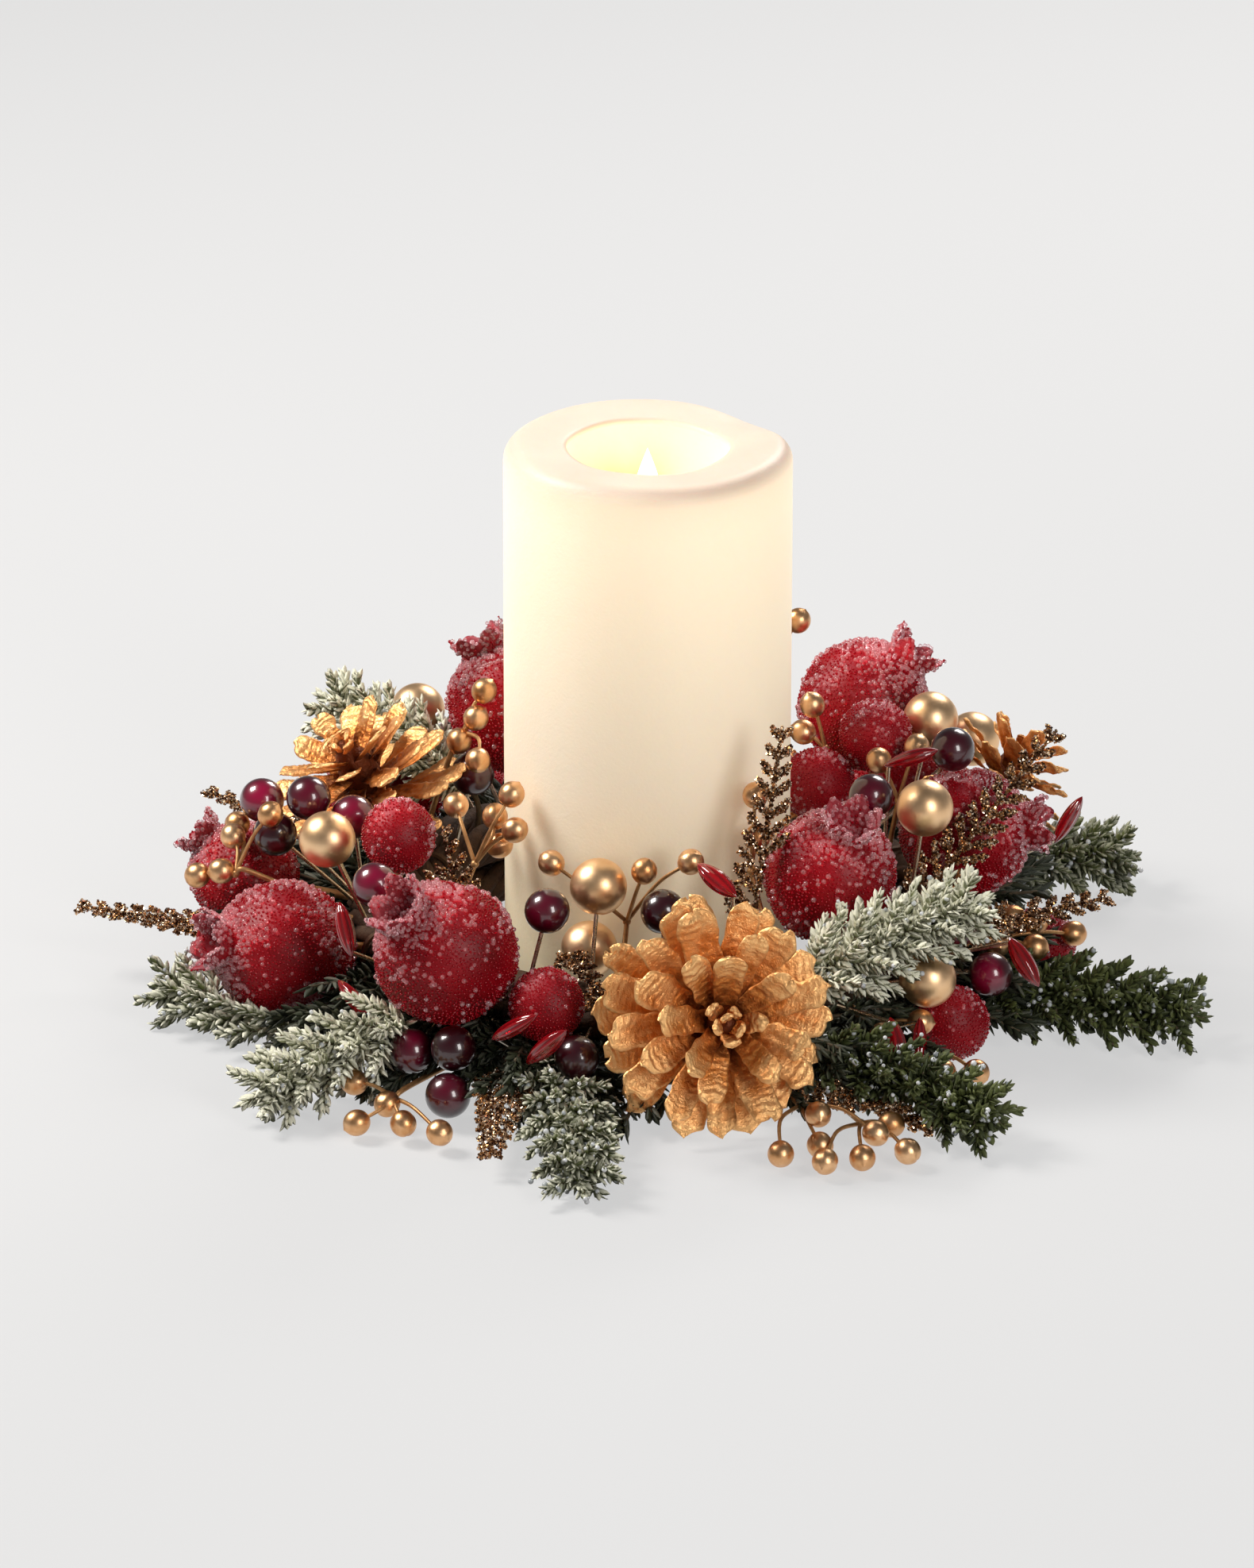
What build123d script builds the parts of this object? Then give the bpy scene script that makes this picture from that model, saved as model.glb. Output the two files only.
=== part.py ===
"""Candle ring: a vine ring dressed with frosted fruit, cones, berries and sprigs, round a wax pillar candle.

The pillar candle is a battery one. It stands inside the ring and lifts out of it. All sizes are in
millimetres. The origin is the centre of the candle's base on the table, +Z is up and -Y is the front.
"""
from build123d import *
from dataclasses import dataclass
import math
import os

# General fits
overrun = 1.0
seat_gap = 0.3
slip_gap = 0.3
running_gap = 0.06
standing = (Align.CENTER, Align.CENTER, Align.MIN)

# Wax pillar
candle_diameter = 101.6
candle_height = 203.2
candle_radius = candle_diameter / 2
rim_round = 7.0
wax_wall = 9.5
wax_floor = 8.7
crater_mouth_radius = 29.0
crater_floor_radius = 15.0
crater_depth = 26.0
crater_sag_share = 0.3
dip_depth = 4.8
dip_radius = 40.0
dip_azimuth = 40.0
cavity_radius = candle_radius - wax_wall
crater_floor_z = candle_height - crater_depth
cavity_top_z = crater_floor_z - wax_floor

# Base plate and battery door
base_thickness = 4.0
base_rim = 6.0
base_radius = cavity_radius + base_rim
well_radius = 32.0
well_wall = 1.5
door_ledge = 1.7
door_thickness = 3.0
door_opening_radius = well_radius - door_ledge
door_radius = door_opening_radius - slip_gap
lug_count = 3
lug_width = 8.0
lug_length = 5.0
lug_thickness = 1.6
door_turn = 30.0
lug_reach = math.sqrt((well_radius - slip_gap) ** 2 - (lug_width / 2) ** 2)
lug_bottom_z = base_thickness + slip_gap
finger_recess_length = 14.0
finger_recess_width = 3.0
finger_recess_depth = 1.0
finger_recess_offset = 16.0

# Base screws
screw_count = 3
screw_azimuth = 90.0
screw_circle_radius = 37.0
screw_radius = 1.2
screw_length = 9.0
screw_head_radius = 2.3
screw_head_height = 1.6
screw_socket_radius = 1.0
screw_socket_depth = 0.9
boss_radius = 2.9
boss_height = 12.0
boss_bore_radius = screw_radius + running_gap

# Battery cells and contacts
cell_radius = 13.1
cell_length = 50.0
cell_nub_radius = 3.2
cell_nub_height = 1.5
cell_spacing = 26.8
contact_thickness = 0.5
contact_width = 10.0
contact_cone_radius = 5.0
contact_cone_tip_radius = 2.5
contact_cone_height = 4.2
top_contact_radius = 6.0
cell_bottom_z = door_thickness + contact_thickness + contact_cone_height + seat_gap
cell_top_z = cell_bottom_z + cell_length
well_top_z = cell_top_z + seat_gap + contact_thickness

# Circuit board
cap_thickness = 2.0
cap_post_radius = 2.0
cap_post_height = 6.0
board_length = 46.0
board_width = 40.0
board_thickness = 1.6
board_post_inset = 4.0
board_bottom_z = well_top_z + cap_thickness + cap_post_height
board_top_z = board_bottom_z + board_thickness
chip_length = 9.0
chip_width = 6.0
chip_height = 1.8
chip_offset = 12.0
capacitor_radius = 4.0
capacitor_height = 9.0
lead_radius = 0.8
lead_spacing = 5.0
lead_offset = 8.0
lead_bend_radius = 4.0
lead_gap = 0.1

# Switch
switch_offset = 36.3
switch_length = 12.4
switch_width = 4.6
switch_height = 6.0
knob_length = 4.0
knob_width = 3.0
knob_travel = 6.0
knob_recess = 0.8
knob_stem_height = 1.5

# Core housing, light tray and moving flame
core_radius = cavity_radius - slip_gap
core_wall = 1.2
core_top_thickness = 1.5
tray_radius = 13.6
tray_wall = 1.4
tray_depth = 33.0
tray_floor = 1.6
tray_flange_radius = 17.0
tray_flange_thickness = 1.2
core_top_z = cavity_top_z - slip_gap - tray_flange_thickness
tray_bottom_z = core_top_z - tray_depth
tray_bore_radius = tray_radius - tray_wall
coil_radius = 9.0
coil_bore_radius = 2.5
coil_height = 7.0
coil_flange_thickness = 0.9
coil_winding_inset = 1.2
collar_radius = tray_bore_radius - slip_gap / 2
collar_wall = 1.6
collar_depth = 16.0
collar_lip_radius = 14.2
collar_lip_thickness = 1.2
collar_bottom_z = crater_floor_z - collar_depth
pivot_drop = 4.2
pivot_radius = 0.4
pivot_z = crater_floor_z - pivot_drop
pivot_length = 2 * (collar_radius - running_gap)
leaf_thickness = 1.2
leaf_tip_rise = 27.0
leaf_tail_drop = 23.0
leaf_width = 9.4
leaf_neck_width = 4.6
leaf_tail_width = 3.0
leaf_belly_share = 0.42
leaf_shoulder_share = 0.22
leaf_shoulder_rise_share = 0.8
magnet_radius = 3.0
magnet_height = 2.0
led_radius = 2.5
led_height = 8.0
led_offset = 6.0
led_shelf_width = 6.0
led_shelf_thickness = 2.6
led_shelf_z = collar_bottom_z - slip_gap - led_shelf_thickness

# Vine ring
ring_radius = 92.0
hoop_tube_radius = 7.7
hoop_spacing = 16.0
band_count = 8
band_width = 2.0
band_thickness = 1.2
band_gap = 0.15
bundle_half = hoop_spacing / 2 + hoop_tube_radius + band_gap + band_thickness
band_corner_radius = hoop_tube_radius + band_gap + band_thickness
bundle_z = bundle_half

# Decorations: size of the whole band of decoration, then of its pieces
decor_height = 90.0
candle_clearance = 0.3
floor_gap = 0.3
piece_gap = 0.6
pomegranate_radius = 25.0
fruit_radius = 13.4
gold_ball_radius = 10.0
burgundy_radius = 7.9
gold_berry_radius = 4.8
petal_radius = 3.4
petal_length = 20.0
petal_tip_share = 0.3
stem_radius = 1.6
wire_radius = 0.75
wire_blade_radius = 0.55
spray_stem_radius = 1.1
twig_radius = 1.5
twig_tip_radius = 0.7
needle_length = 26.0
needle_radius = 0.9
needle_tip_radius = 0.35
needle_step = 7.0
needles_round = 5
needle_lean = 50.0
fern_stem_radius = 1.0
fern_tip_radius = 0.5
leaflet_length = 17.0
leaflet_radius = 1.1
leaflet_tip_radius = 0.5
leaflet_step = 7.0
leaflet_lean = 42.0
push_depth = 6.0
joint_share = 1.15
bury_share = 0.7
needle_root_share = 0.6
needle_taper_share = 0.35
short_needle_share = 0.6
first_whorl_share = 0.3
leaflet_taper_share = 0.7
fern_tilt_share = 0.5
twig_knee_share = 0.6
twig_slim_share = 0.9
piece_step = 4.0
move_steps = 4
crown_radius_share = 0.4
crown_length_share = 0.42
crown_wall_share = 0.1
crown_tooth_share = 0.26
crown_teeth = 6
crown_notch_share = 0.55
crown_foot_share = 0.8
cone_radius = 37.0
cone_core_share = 0.36
core_sides = 7
core_foot_share = 0.85
core_length_share = 1.5
cone_whorls = 7
scales_round = 8
fewest_scales = 4
small_cone_share = 0.4
cone_taper_share = 0.25
cone_foot_share = 0.86
cone_low_share = -0.62
cone_high_share = 0.48
scale_low_lift = 0
scale_high_lift = 64
scale_thickness = 2.4
scale_width = 11.5
scale_seat_share = 0.4
scale_foot_share = 0.25
scale_shoulder_share = 0.85
scale_tip_share = 0.22
scale_narrow_share = 0.35
inner_scale_share = 0.9

# How wires and twigs find their way: weights say how little a piece gives way, turns and lifts are degrees
cone_weight = 6
pomegranate_weight = 4
fruit_weight = 2
ball_weight = 1
berry_weight = 0.6
spread_rounds = 80
rod_test_shares = (0, 0.25, 0.5, 0.75, 1)
wire_start_share = 0.5
wire_turn_limit = 32
wire_turn_step = 4
bend_reach_shares = (1.0, 1.6, 2.4, 3.4)
bend_lifts = (0, -40, 40, -75)
bend_turn_step = 45
target_stride = 3
fork_shares = (0.3, 0.45, 0.15, 0.6, 0.0)

# Places are (azimuth in degrees, share of ring_radius out from the axis, share of decor_height up)
# A pomegranate adds its size, and the azimuth and lift of its crown in degrees
pomegranate_shares = [
    (-124, 1.32, 0.56, 1.02, -147, 48),
    (-161, 1.47, 0.32, 1.00, -159, 15),
    (174, 1.53, 0.40, 0.80, 160, 40),
    (123, 0.98, 0.81, 0.96, 150, 60),
    (47, 1.24, 0.78, 0.96, 10, 45),
    (-42, 0.93, 0.69, 0.96, -56, 65),
    (0, 1.22, 0.60, 0.94, -5, 8),
    (134, 1.51, 0.33, 0.88, 125, 30),
    (49, 1.59, 0.30, 0.88, 60, 30),
]

# A cone adds its size, its length, and the azimuth and lift of its tip in degrees
cone_shares = [
    (-80.5, 1.49, 0.46, 1.12, 0.90, -80, 18),
    (166, 1.19, 0.69, 0.90, 0.95, -150, 62),
    (22, 1.53, 0.66, 0.70, 1.00, 40, 45),
    (40, 0.86, 0.62, 0.43, 1.20, 40, 80),
    (88, 1.32, 0.49, 0.90, 0.90, 88, 20),
]

fruit_shares = [
    (-152, 1.07, 0.81),
    (-108, 1.31, 0.44),
    (23, 0.99, 0.87),
    (28, 0.75, 0.68),
    (-36, 1.43, 0.17),
    (-6, 1.53, 0.20),
    (110, 1.44, 0.22),
    (69, 1.49, 0.24),
]

gold_ball_shares = [
    (-163, 1.28, 0.74),
    (-104, 0.77, 0.70),
    (-108, 0.72, 0.41),
    (-27, 1.18, 0.94),
    (24, 1.24, 0.84),
    (-43, 1.44, 0.41),
    (90, 0.78, 0.71),
    (127, 1.52, 0.64),
    (39, 1.67, 0.58),
]

burgundy_shares = [
    (177, 1.46, 0.71),
    (-176, 1.30, 0.80),
    (-175, 1.44, 0.66),
    (-173, 1.14, 0.74),
    (-139, 1.36, 0.77),
    (-112, 1.01, 0.68),
    (-86, 0.83, 0.63),
    (149, 0.84, 0.70),
    (0, 1.18, 0.94),
    (-22, 0.92, 0.91),
    (-34, 1.41, 0.56),
    (-29, 1.49, 0.32),
    (-126, 1.51, 0.22),
    (-119, 1.50, 0.28),
    (-118, 1.59, 0.12),
    (-100, 1.45, 0.29),
    (70, 0.88, 0.73),
    (102, 1.02, 0.91),
    (121, 1.41, 0.56),
    (75, 1.64, 0.18),
    (102, 1.58, 0.16),
    (63, 1.58, 0.49),
]

# Each spray of gold berries is a list of places; its wires meet at a fork that it works out
spray_shares = [
    [(-176, 1.74, 0.48), (-174, 1.65, 0.52), (-178, 1.60, 0.62), (178, 1.55, 0.65), (-172, 1.46, 0.77)],
    [(141, 0.82, 1.00), (145, 0.83, 0.89), (148, 0.85, 0.80), (160, 0.70, 0.82)],
    [(-165, 0.76, 0.81), (-144, 0.64, 0.93), (-152, 0.66, 0.81), (-140, 0.66, 0.80), (-149, 0.66, 0.70)],
    [(-120, 0.73, 0.75), (-91, 0.76, 0.77), (-78, 0.78, 0.81)],
    [(-51, 0.65, 0.98), (-50, 0.67, 0.80)],
    [(38, 0.82, 0.95), (40, 0.80, 0.82)],
    [(6, 0.90, 0.88), (10, 1.06, 0.90)],
    [(-17, 1.46, 0.43), (-13, 1.53, 0.38), (-9, 1.64, 0.28), (-18, 1.56, 0.33), (-23, 1.45, 0.38)],
    [(-46, 1.48, 0.28), (-53, 1.46, 0.26)],
    [(-43, 1.69, 0.10), (-46, 1.60, 0.10)],
    [(-69, 1.76, 0.15), (-70, 1.86, 0.07), (-64, 1.92, 0.11), (-75, 1.89, 0.07)],
    [(-71, 2.00, 0.07), (-67, 2.02, 0.07), (-62, 2.04, 0.07), (-61, 1.86, 0.10)],
    [(-130, 1.71, 0.13), (-124, 1.74, 0.10), (-125, 1.89, 0.07), (-120, 1.82, 0.08), (-115, 1.83, 0.08)],
    [(80, 1.74, 0.10), (86, 1.78, 0.12), (92, 1.72, 0.10), (84, 1.66, 0.20)],
    [(117, 1.74, 0.20), (123, 1.72, 0.30), (119, 1.80, 0.10), (113, 1.70, 0.14)],
    [(66, 1.30, 1.02), (60, 1.20, 1.10), (72, 1.22, 1.04)],
]

# A petal bead is the place of its middle, then the azimuth and lift of its long axis in degrees
petal_shares = [
    (-167, 1.74, 0.33, -110, -60),
    (-139, 1.45, 0.61, -70, -50),
    (-137, 1.51, 0.35, -50, -25),
    (-109, 1.53, 0.42, -20, 35),
    (-104, 1.56, 0.37, -15, 45),
    (-75, 1.00, 0.82, -45, -20),
    (-7, 1.02, 0.98, 0, 18),
    (7, 1.65, 0.58, 10, 60),
    (-31, 1.66, 0.43, -40, -48),
    (-54, 1.58, 0.27, -70, -55),
    (-50, 1.58, 0.24, -95, -52),
    (97, 1.70, 0.30, 120, 30),
    (80, 1.06, 0.98, 60, 25),
    (57, 1.72, 0.45, 20, 40),
]

# A sprig or fern is its root place and its tip place
sprig_shares = [
    ((-127, 1.40, 0.30), (-135, 1.93, 0.12)),
    ((-106, 1.30, 0.20), (-97, 2.06, 0.12)),
    ((-63, 1.25, 0.46), (-40, 1.53, 0.70)),
    ((-20, 1.36, 0.16), (-19, 2.12, 0.14)),
    ((-62, 1.36, 0.20), (-53, 2.03, 0.14)),
    ((133, 1.02, 0.50), (141, 1.55, 0.74)),
    ((-150, 1.50, 0.14), (-167, 1.84, 0.16)),
    ((100, 1.30, 0.14), (106, 1.98, 0.14)),
    ((36, 1.30, 0.16), (24, 2.00, 0.16)),
]

fern_shares = [
    ((-178, 1.40, 0.20), (178, 2.19, 0.28)),
    ((-112, 1.38, 0.20), (-107, 1.98, 0.10)),
    ((-62, 0.92, 0.50), (-50, 0.85, 1.30)),
    ((-25, 1.10, 0.46), (-3, 1.56, 1.06)),
    ((-32, 1.20, 0.46), (-10, 1.78, 0.48)),
    ((-68, 1.40, 0.18), (-57, 1.92, 0.08)),
    ((-141, 0.98, 0.50), (-146, 1.00, 0.84)),
    ((-116, 0.90, 0.40), (-98, 1.18, 0.34)),
    ((76, 0.92, 0.50), (80, 0.86, 1.20)),
    ((64, 1.36, 0.20), (66, 2.00, 0.16)),
    ((150, 1.30, 0.26), (152, 1.96, 0.40)),
]


def plus(a, b):
    return tuple(p + q for p, q in zip(a, b))


def minus(a, b):
    return tuple(p - q for p, q in zip(a, b))


def times(a, k):
    return tuple(p * k for p in a)


def dot(a, b):
    return sum(p * q for p, q in zip(a, b))


def cross(a, b):
    return (a[1] * b[2] - a[2] * b[1], a[2] * b[0] - a[0] * b[2], a[0] * b[1] - a[1] * b[0])


def length_of(a):
    return math.sqrt(dot(a, a))


def unit(a):
    return times(a, 1 / length_of(a))


def heading(azimuth, lift=0):
    """Unit direction of an azimuth and a lift above the level, both in degrees."""
    turn, rise = math.radians(azimuth), math.radians(lift)
    return (math.cos(turn) * math.cos(rise), math.sin(turn) * math.cos(rise), math.sin(rise))


def place(azimuth, out_share, up_share):
    """Point at an azimuth, a share of the ring's radius out and a share of the decoration's height up."""
    return plus(times(heading(azimuth), ring_radius * out_share), (0, 0, decor_height * up_share))


def azimuth_of(point):
    return math.degrees(math.atan2(point[1], point[0]))


def out_of(point):
    return math.hypot(point[0], point[1])


def segment_gap(a, b, c, d):
    """Least distance between the straight pieces a-b and c-d."""
    u, v, w = minus(b, a), minus(d, c), minus(a, c)
    uu, uv, vv, uw, vw = dot(u, u), dot(u, v), dot(v, v), dot(u, w), dot(v, w)
    det = uu * vv - uv * uv
    s = min(max((uv * vw - vv * uw) / det, 0), 1) if det > 0 else 0
    t = min(max((uv * s + vw) / vv, 0), 1) if vv > 0 else 0
    s = min(max((uv * t - uw) / uu, 0), 1) if uu > 0 else 0
    return length_of(minus(plus(w, times(u, s)), times(v, t)))


def bundle_gap(point):
    """Distance of a point from the bundle of hoops and its bands, and the way out of it."""
    out, up = out_of(point) - ring_radius, point[2] - bundle_z
    half = hoop_spacing / 2
    dx, dz = max(abs(out) - half, 0), max(abs(up) - half, 0)
    reach = math.hypot(dx, dz)
    if reach > 0:
        way = (math.copysign(dx, out) / reach, math.copysign(dz, up) / reach)
    else:
        way = (0, 1)
    level = heading(azimuth_of(point))
    return reach - band_corner_radius, (level[0] * way[0], level[1] * way[0], way[1])


@dataclass
class Ball:
    """A round piece: its centre, its radius and how little it gives way to others."""

    centre: tuple
    radius: float
    weight: float


def keep_off(ball):
    """Moves a ball out of the candle, off the hoops and above the table."""
    gap, way = bundle_gap(ball.centre)
    short = ball.radius + seat_gap - gap
    if short > 0:
        ball.centre = plus(ball.centre, times(way, short))
    short = candle_radius + candle_clearance + ball.radius - out_of(ball.centre)
    if short > 0:
        ball.centre = plus(ball.centre, times(heading(azimuth_of(ball.centre)), short))
    short = ball.radius + floor_gap - ball.centre[2]
    if short > 0:
        ball.centre = plus(ball.centre, (0, 0, short))


def spread_apart(balls):
    """Pushes overlapping balls apart, the small ones further than the large ones."""
    for _ in range(spread_rounds):
        moved = False
        for i, one in enumerate(balls):
            for other in balls[:i]:
                step = minus(one.centre, other.centre)
                short = one.radius + other.radius + piece_gap - length_of(step)
                if short > 0:
                    moved = True
                    way = unit(step)
                    share = other.weight / (one.weight + other.weight)
                    one.centre = plus(one.centre, times(way, short * share))
                    other.centre = minus(other.centre, times(way, short * (1 - share)))
        for ball in balls:
            keep_off(ball)
        if not moved:
            break


class Clutter:
    """Everything already placed, as straight rods with round ends."""

    def __init__(self):
        self.rods = []

    def add(self, a, b, radius, owner=None):
        middle = times(plus(a, b), 0.5)
        self.rods.append((a, b, radius, owner, middle, length_of(minus(b, a)) / 2))

    def is_clear(self, a, b, radius, owner=None, gap=seat_gap, hoops=False):
        """Says whether a rod meets nothing: no other piece, candle or table, nor the hoops if asked."""
        if min(a[2], b[2]) < radius + floor_gap:
            return False
        for share in rod_test_shares:
            point = plus(a, times(minus(b, a), share))
            if out_of(point) < candle_radius + candle_clearance + radius:
                return False
            if hoops and bundle_gap(point)[0] < radius + gap:
                return False
        x, y, z = times(plus(a, b), 0.5)
        half = length_of(minus(b, a)) / 2
        for c, d, other, who, middle, other_half in self.rods:
            reach = half + other_half + radius + other + gap
            dx, dy, dz = middle[0] - x, middle[1] - y, middle[2] - z
            if dx * dx + dy * dy + dz * dz > reach * reach:
                continue
            if who is not None and who is owner:
                continue
            if segment_gap(a, b, c, d) < radius + other + gap:
                return False
        return True


def hoop_points():
    """The four hoops' centre lines, as radius and height, the lower pair first."""
    half = hoop_spacing / 2
    return [(ring_radius + out, bundle_z + up) for up in (-half, half) for out in (-half, half)]


def wire_way(start, ball_radius, radius, clutter, owner):
    """Finds a wire from inside a ball to a hoop: straight if nothing is in its way, else with one bend."""
    azimuth = azimuth_of(start)
    targets = []
    for turn in range(-wire_turn_limit, wire_turn_limit + 1, wire_turn_step):
        for out, up in hoop_points():
            level = times(heading(azimuth + turn), out)
            targets.append((level[0], level[1], up))
    targets.sort(key=lambda point: length_of(minus(point, start)))
    for target in targets:
        way = unit(minus(target, start))
        leave = plus(start, times(way, ball_radius))
        if length_of(minus(target, start)) < ball_radius:
            return [start, target]
        if clutter.is_clear(leave, target, radius, owner):
            return [plus(start, times(way, ball_radius * wire_start_share)), target]
    for reach in bend_reach_shares:
        for lift in bend_lifts:
            for turn in range(0, 360, bend_turn_step):
                way = heading(azimuth + turn, lift)
                bend = plus(start, times(way, ball_radius + reach * push_depth))
                leave = plus(start, times(way, ball_radius))
                if not clutter.is_clear(leave, bend, radius, owner):
                    continue
                for target in targets[::target_stride]:
                    if clutter.is_clear(bend, target, radius, owner):
                        return [plus(start, times(way, ball_radius * wire_start_share)), bend, target]
    return None


def offsets(step, count):
    """Small moves in all directions, the shortest first."""
    steps = [step * n for n in range(-count, count + 1)]
    moves = [(x, y, z) for x in steps for y in steps for z in steps]
    return sorted(moves, key=length_of)


def free_rod(a, b, radius, clutter, owner, moves):
    """Moves a rod as little as it can to a place where it meets nothing."""
    for move in moves:
        c, d = plus(a, move), plus(b, move)
        if clutter.is_clear(c, d, radius, owner, hoops=True):
            return c, d
    return None


class Layout:
    """Where every decoration stands and how its stem, wire or twig reaches the hoops."""

    def __init__(self):
        self.clutter = Clutter()
        self.missed = []
        self.set_balls()
        self.block_bands()
        self.block_balls()
        self.moves = offsets(piece_step, move_steps)
        stemmed = self.pomegranates + self.cones + self.fruits
        self.stems = [self.wire(ball, stem_radius, "stem") for ball in stemmed]
        self.petals = self.set_petals()
        self.sprays = [self.set_spray(berries) for berries in self.spray_balls]
        self.wires = [self.wire(ball, wire_radius, "wire") for ball in self.gold_balls + self.burgundy]
        self.petal_wires = [self.petal_wire(petal) for petal in self.petals]
        self.sprigs = [self.set_twig(ends, twig_radius, "sprig") for ends in sprig_shares]
        self.ferns = [self.set_twig(ends, fern_stem_radius, "fern") for ends in fern_shares]
        self.needles = [self.set_needles(twig) for twig in self.sprigs]
        self.leaflets = [self.set_leaflets(twig) for twig in self.ferns]

    def set_balls(self):
        """Places the round pieces and spreads them apart."""
        self.pomegranates = [Ball(place(*row[:3]), pomegranate_radius * row[3], pomegranate_weight)
                             for row in pomegranate_shares]
        self.cones = [Ball(place(*row[:3]), cone_radius * row[3], cone_weight) for row in cone_shares]
        self.fruits = [Ball(place(*row), fruit_radius, fruit_weight) for row in fruit_shares]
        self.gold_balls = [Ball(place(*row), gold_ball_radius, ball_weight) for row in gold_ball_shares]
        self.burgundy = [Ball(place(*row), burgundy_radius, ball_weight) for row in burgundy_shares]
        self.spray_balls = [[Ball(place(*row), gold_berry_radius, berry_weight) for row in spray]
                            for spray in spray_shares]
        balls = self.pomegranates + self.cones + self.fruits + self.gold_balls + self.burgundy
        for spray in self.spray_balls:
            balls = balls + spray
        spread_apart(balls)

    def block_bands(self):
        """The bands round the hoops are in the way of wires and twigs."""
        half = bundle_half - band_thickness / 2
        for azimuth in band_azimuths():
            corners = [(-half, -half), (half, -half), (half, half), (-half, half)]
            points = []
            for out, up in corners:
                level = times(heading(azimuth), ring_radius + out)
                points.append((level[0], level[1], bundle_z + up))
            for one, other in zip(points, points[1:] + points[:1]):
                self.clutter.add(one, other, band_width)

    def block_balls(self):
        """Round pieces and the pomegranates' crowns are in the way of what comes after them."""
        for ball, row in zip(self.pomegranates, pomegranate_shares):
            tip = plus(ball.centre, times(heading(row[4], row[5]), ball.radius * (1 + crown_length_share)))
            neck = plus(ball.centre, times(heading(row[4], row[5]), ball.radius * crown_foot_share))
            self.clutter.add(neck, tip, ball.radius * crown_radius_share, ball)
        for spray in self.spray_balls:
            for ball in spray:
                self.clutter.add(ball.centre, ball.centre, ball.radius, spray)
        for ball in self.pomegranates + self.cones + self.fruits + self.gold_balls + self.burgundy:
            self.clutter.add(ball.centre, ball.centre, ball.radius, ball)

    def wire(self, ball, radius, kind):
        """Finds a ball's way to the hoops and blocks it for others."""
        way = wire_way(ball.centre, ball.radius, radius, self.clutter, ball)
        if way is None:
            self.missed.append((kind, ball.centre))
            return None
        for a, b in zip(way, way[1:]):
            self.clutter.add(a, b, radius, "wires")
        return way

    def set_petals(self):
        """Places the petal beads where they meet nothing."""
        petals = []
        for azimuth, out, up, turn, lift in petal_shares:
            middle = place(azimuth, out, up)
            half = times(heading(turn, lift), petal_length / 2 - petal_radius / 2)
            spot = free_rod(minus(middle, half), plus(middle, half), petal_radius, self.clutter, None,
                            self.moves)
            if spot is None:
                self.missed.append(("petal", middle))
                continue
            self.clutter.add(spot[0], spot[1], petal_radius, spot)
            petals.append(spot)
        return petals

    def petal_wire(self, petal):
        """A petal bead's wire leaves the end nearer to the hoops."""
        near, far = sorted(petal, key=lambda point: bundle_gap(point)[0])
        way = wire_way(near, petal_radius, wire_radius, self.clutter, petal)
        if way is None:
            self.missed.append(("petal wire", near))
            return None
        way[0] = near
        for a, b in zip(way, way[1:]):
            self.clutter.add(a, b, wire_radius, "wires")
        return way

    def set_spray(self, spray):
        """Finds a spray's fork, from which each berry and the hoops can be reached."""
        sums = tuple(map(sum, zip(*[ball.centre for ball in spray])))
        middle = times(sums, 1 / len(spray))
        level = times(heading(azimuth_of(middle)), ring_radius)
        foot = (level[0], level[1], bundle_z)
        best = None
        for share in fork_shares:
            base = plus(middle, times(minus(foot, middle), share))
            for move in self.moves:
                fork = plus(base, move)
                reached = [ball for ball in spray
                           if self.clutter.is_clear(fork, ball.centre, wire_radius, spray)]
                if best is None or len(reached) > best[0]:
                    way = wire_way(fork, 0, spray_stem_radius, self.clutter, spray)
                    if way is not None:
                        best = (len(reached), fork, way, reached)
                if best is not None and best[0] == len(spray):
                    break
            if best is not None and best[0] == len(spray):
                break
        if best is None:
            self.missed.append(("spray", middle))
            return None
        _, fork, way, reached = best
        for ball in spray:
            if ball not in reached:
                self.missed.append(("berry", ball.centre))
        for a, b in zip(way, way[1:]):
            self.clutter.add(a, b, spray_stem_radius, "wires")
        for ball in reached:
            self.clutter.add(fork, ball.centre, wire_radius, "wires")
        return fork, way, reached

    def set_twig(self, ends, radius, kind):
        """Lays a twig from the hoops through its root to its tip."""
        root, tip = place(*ends[0]), place(*ends[1])
        for move in self.moves:
            a, b = plus(root, move), plus(tip, move)
            if not self.clutter.is_clear(a, b, radius, hoops=True):
                continue
            way = wire_way(a, 0, radius, self.clutter, None)
            if way is not None and len(way) == 2:
                twig = [way[-1], a, b]
                for c, d in ((a, b), (a, way[-1])):
                    self.clutter.add(c, d, radius, twig)
                return twig
        self.missed.append((kind, root))
        return None

    def set_needles(self, twig):
        """Needles in whorls round the outer run of a twig, where they meet nothing."""
        if twig is None:
            return []
        _, root, tip = twig
        run = minus(tip, root)
        forward = unit(run)
        side = unit(cross(forward, (0, 0, 1)))
        upper = cross(side, forward)
        lean = math.radians(needle_lean)
        found = []
        count = int(length_of(run) / needle_step)
        for n in range(count + 1):
            share = (n + first_whorl_share) / (count + 2 * first_whorl_share)
            base = plus(root, times(run, share))
            reach = needle_length * (1 - needle_taper_share * share)
            for m in range(needles_round):
                turn = math.tau * (m + (n % 2) / 2) / needles_round
                spread = plus(times(side, math.cos(turn)), times(upper, math.sin(turn)))
                way = plus(times(forward, math.cos(lean)), times(spread, math.sin(lean)))
                self.try_needle(base, way, reach, needle_radius, twig_radius, found, twig)
        end = minus(tip, times(forward, twig_radius))
        self.try_needle(end, forward, needle_length / 2, needle_radius, 0, found, twig)
        return found

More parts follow.
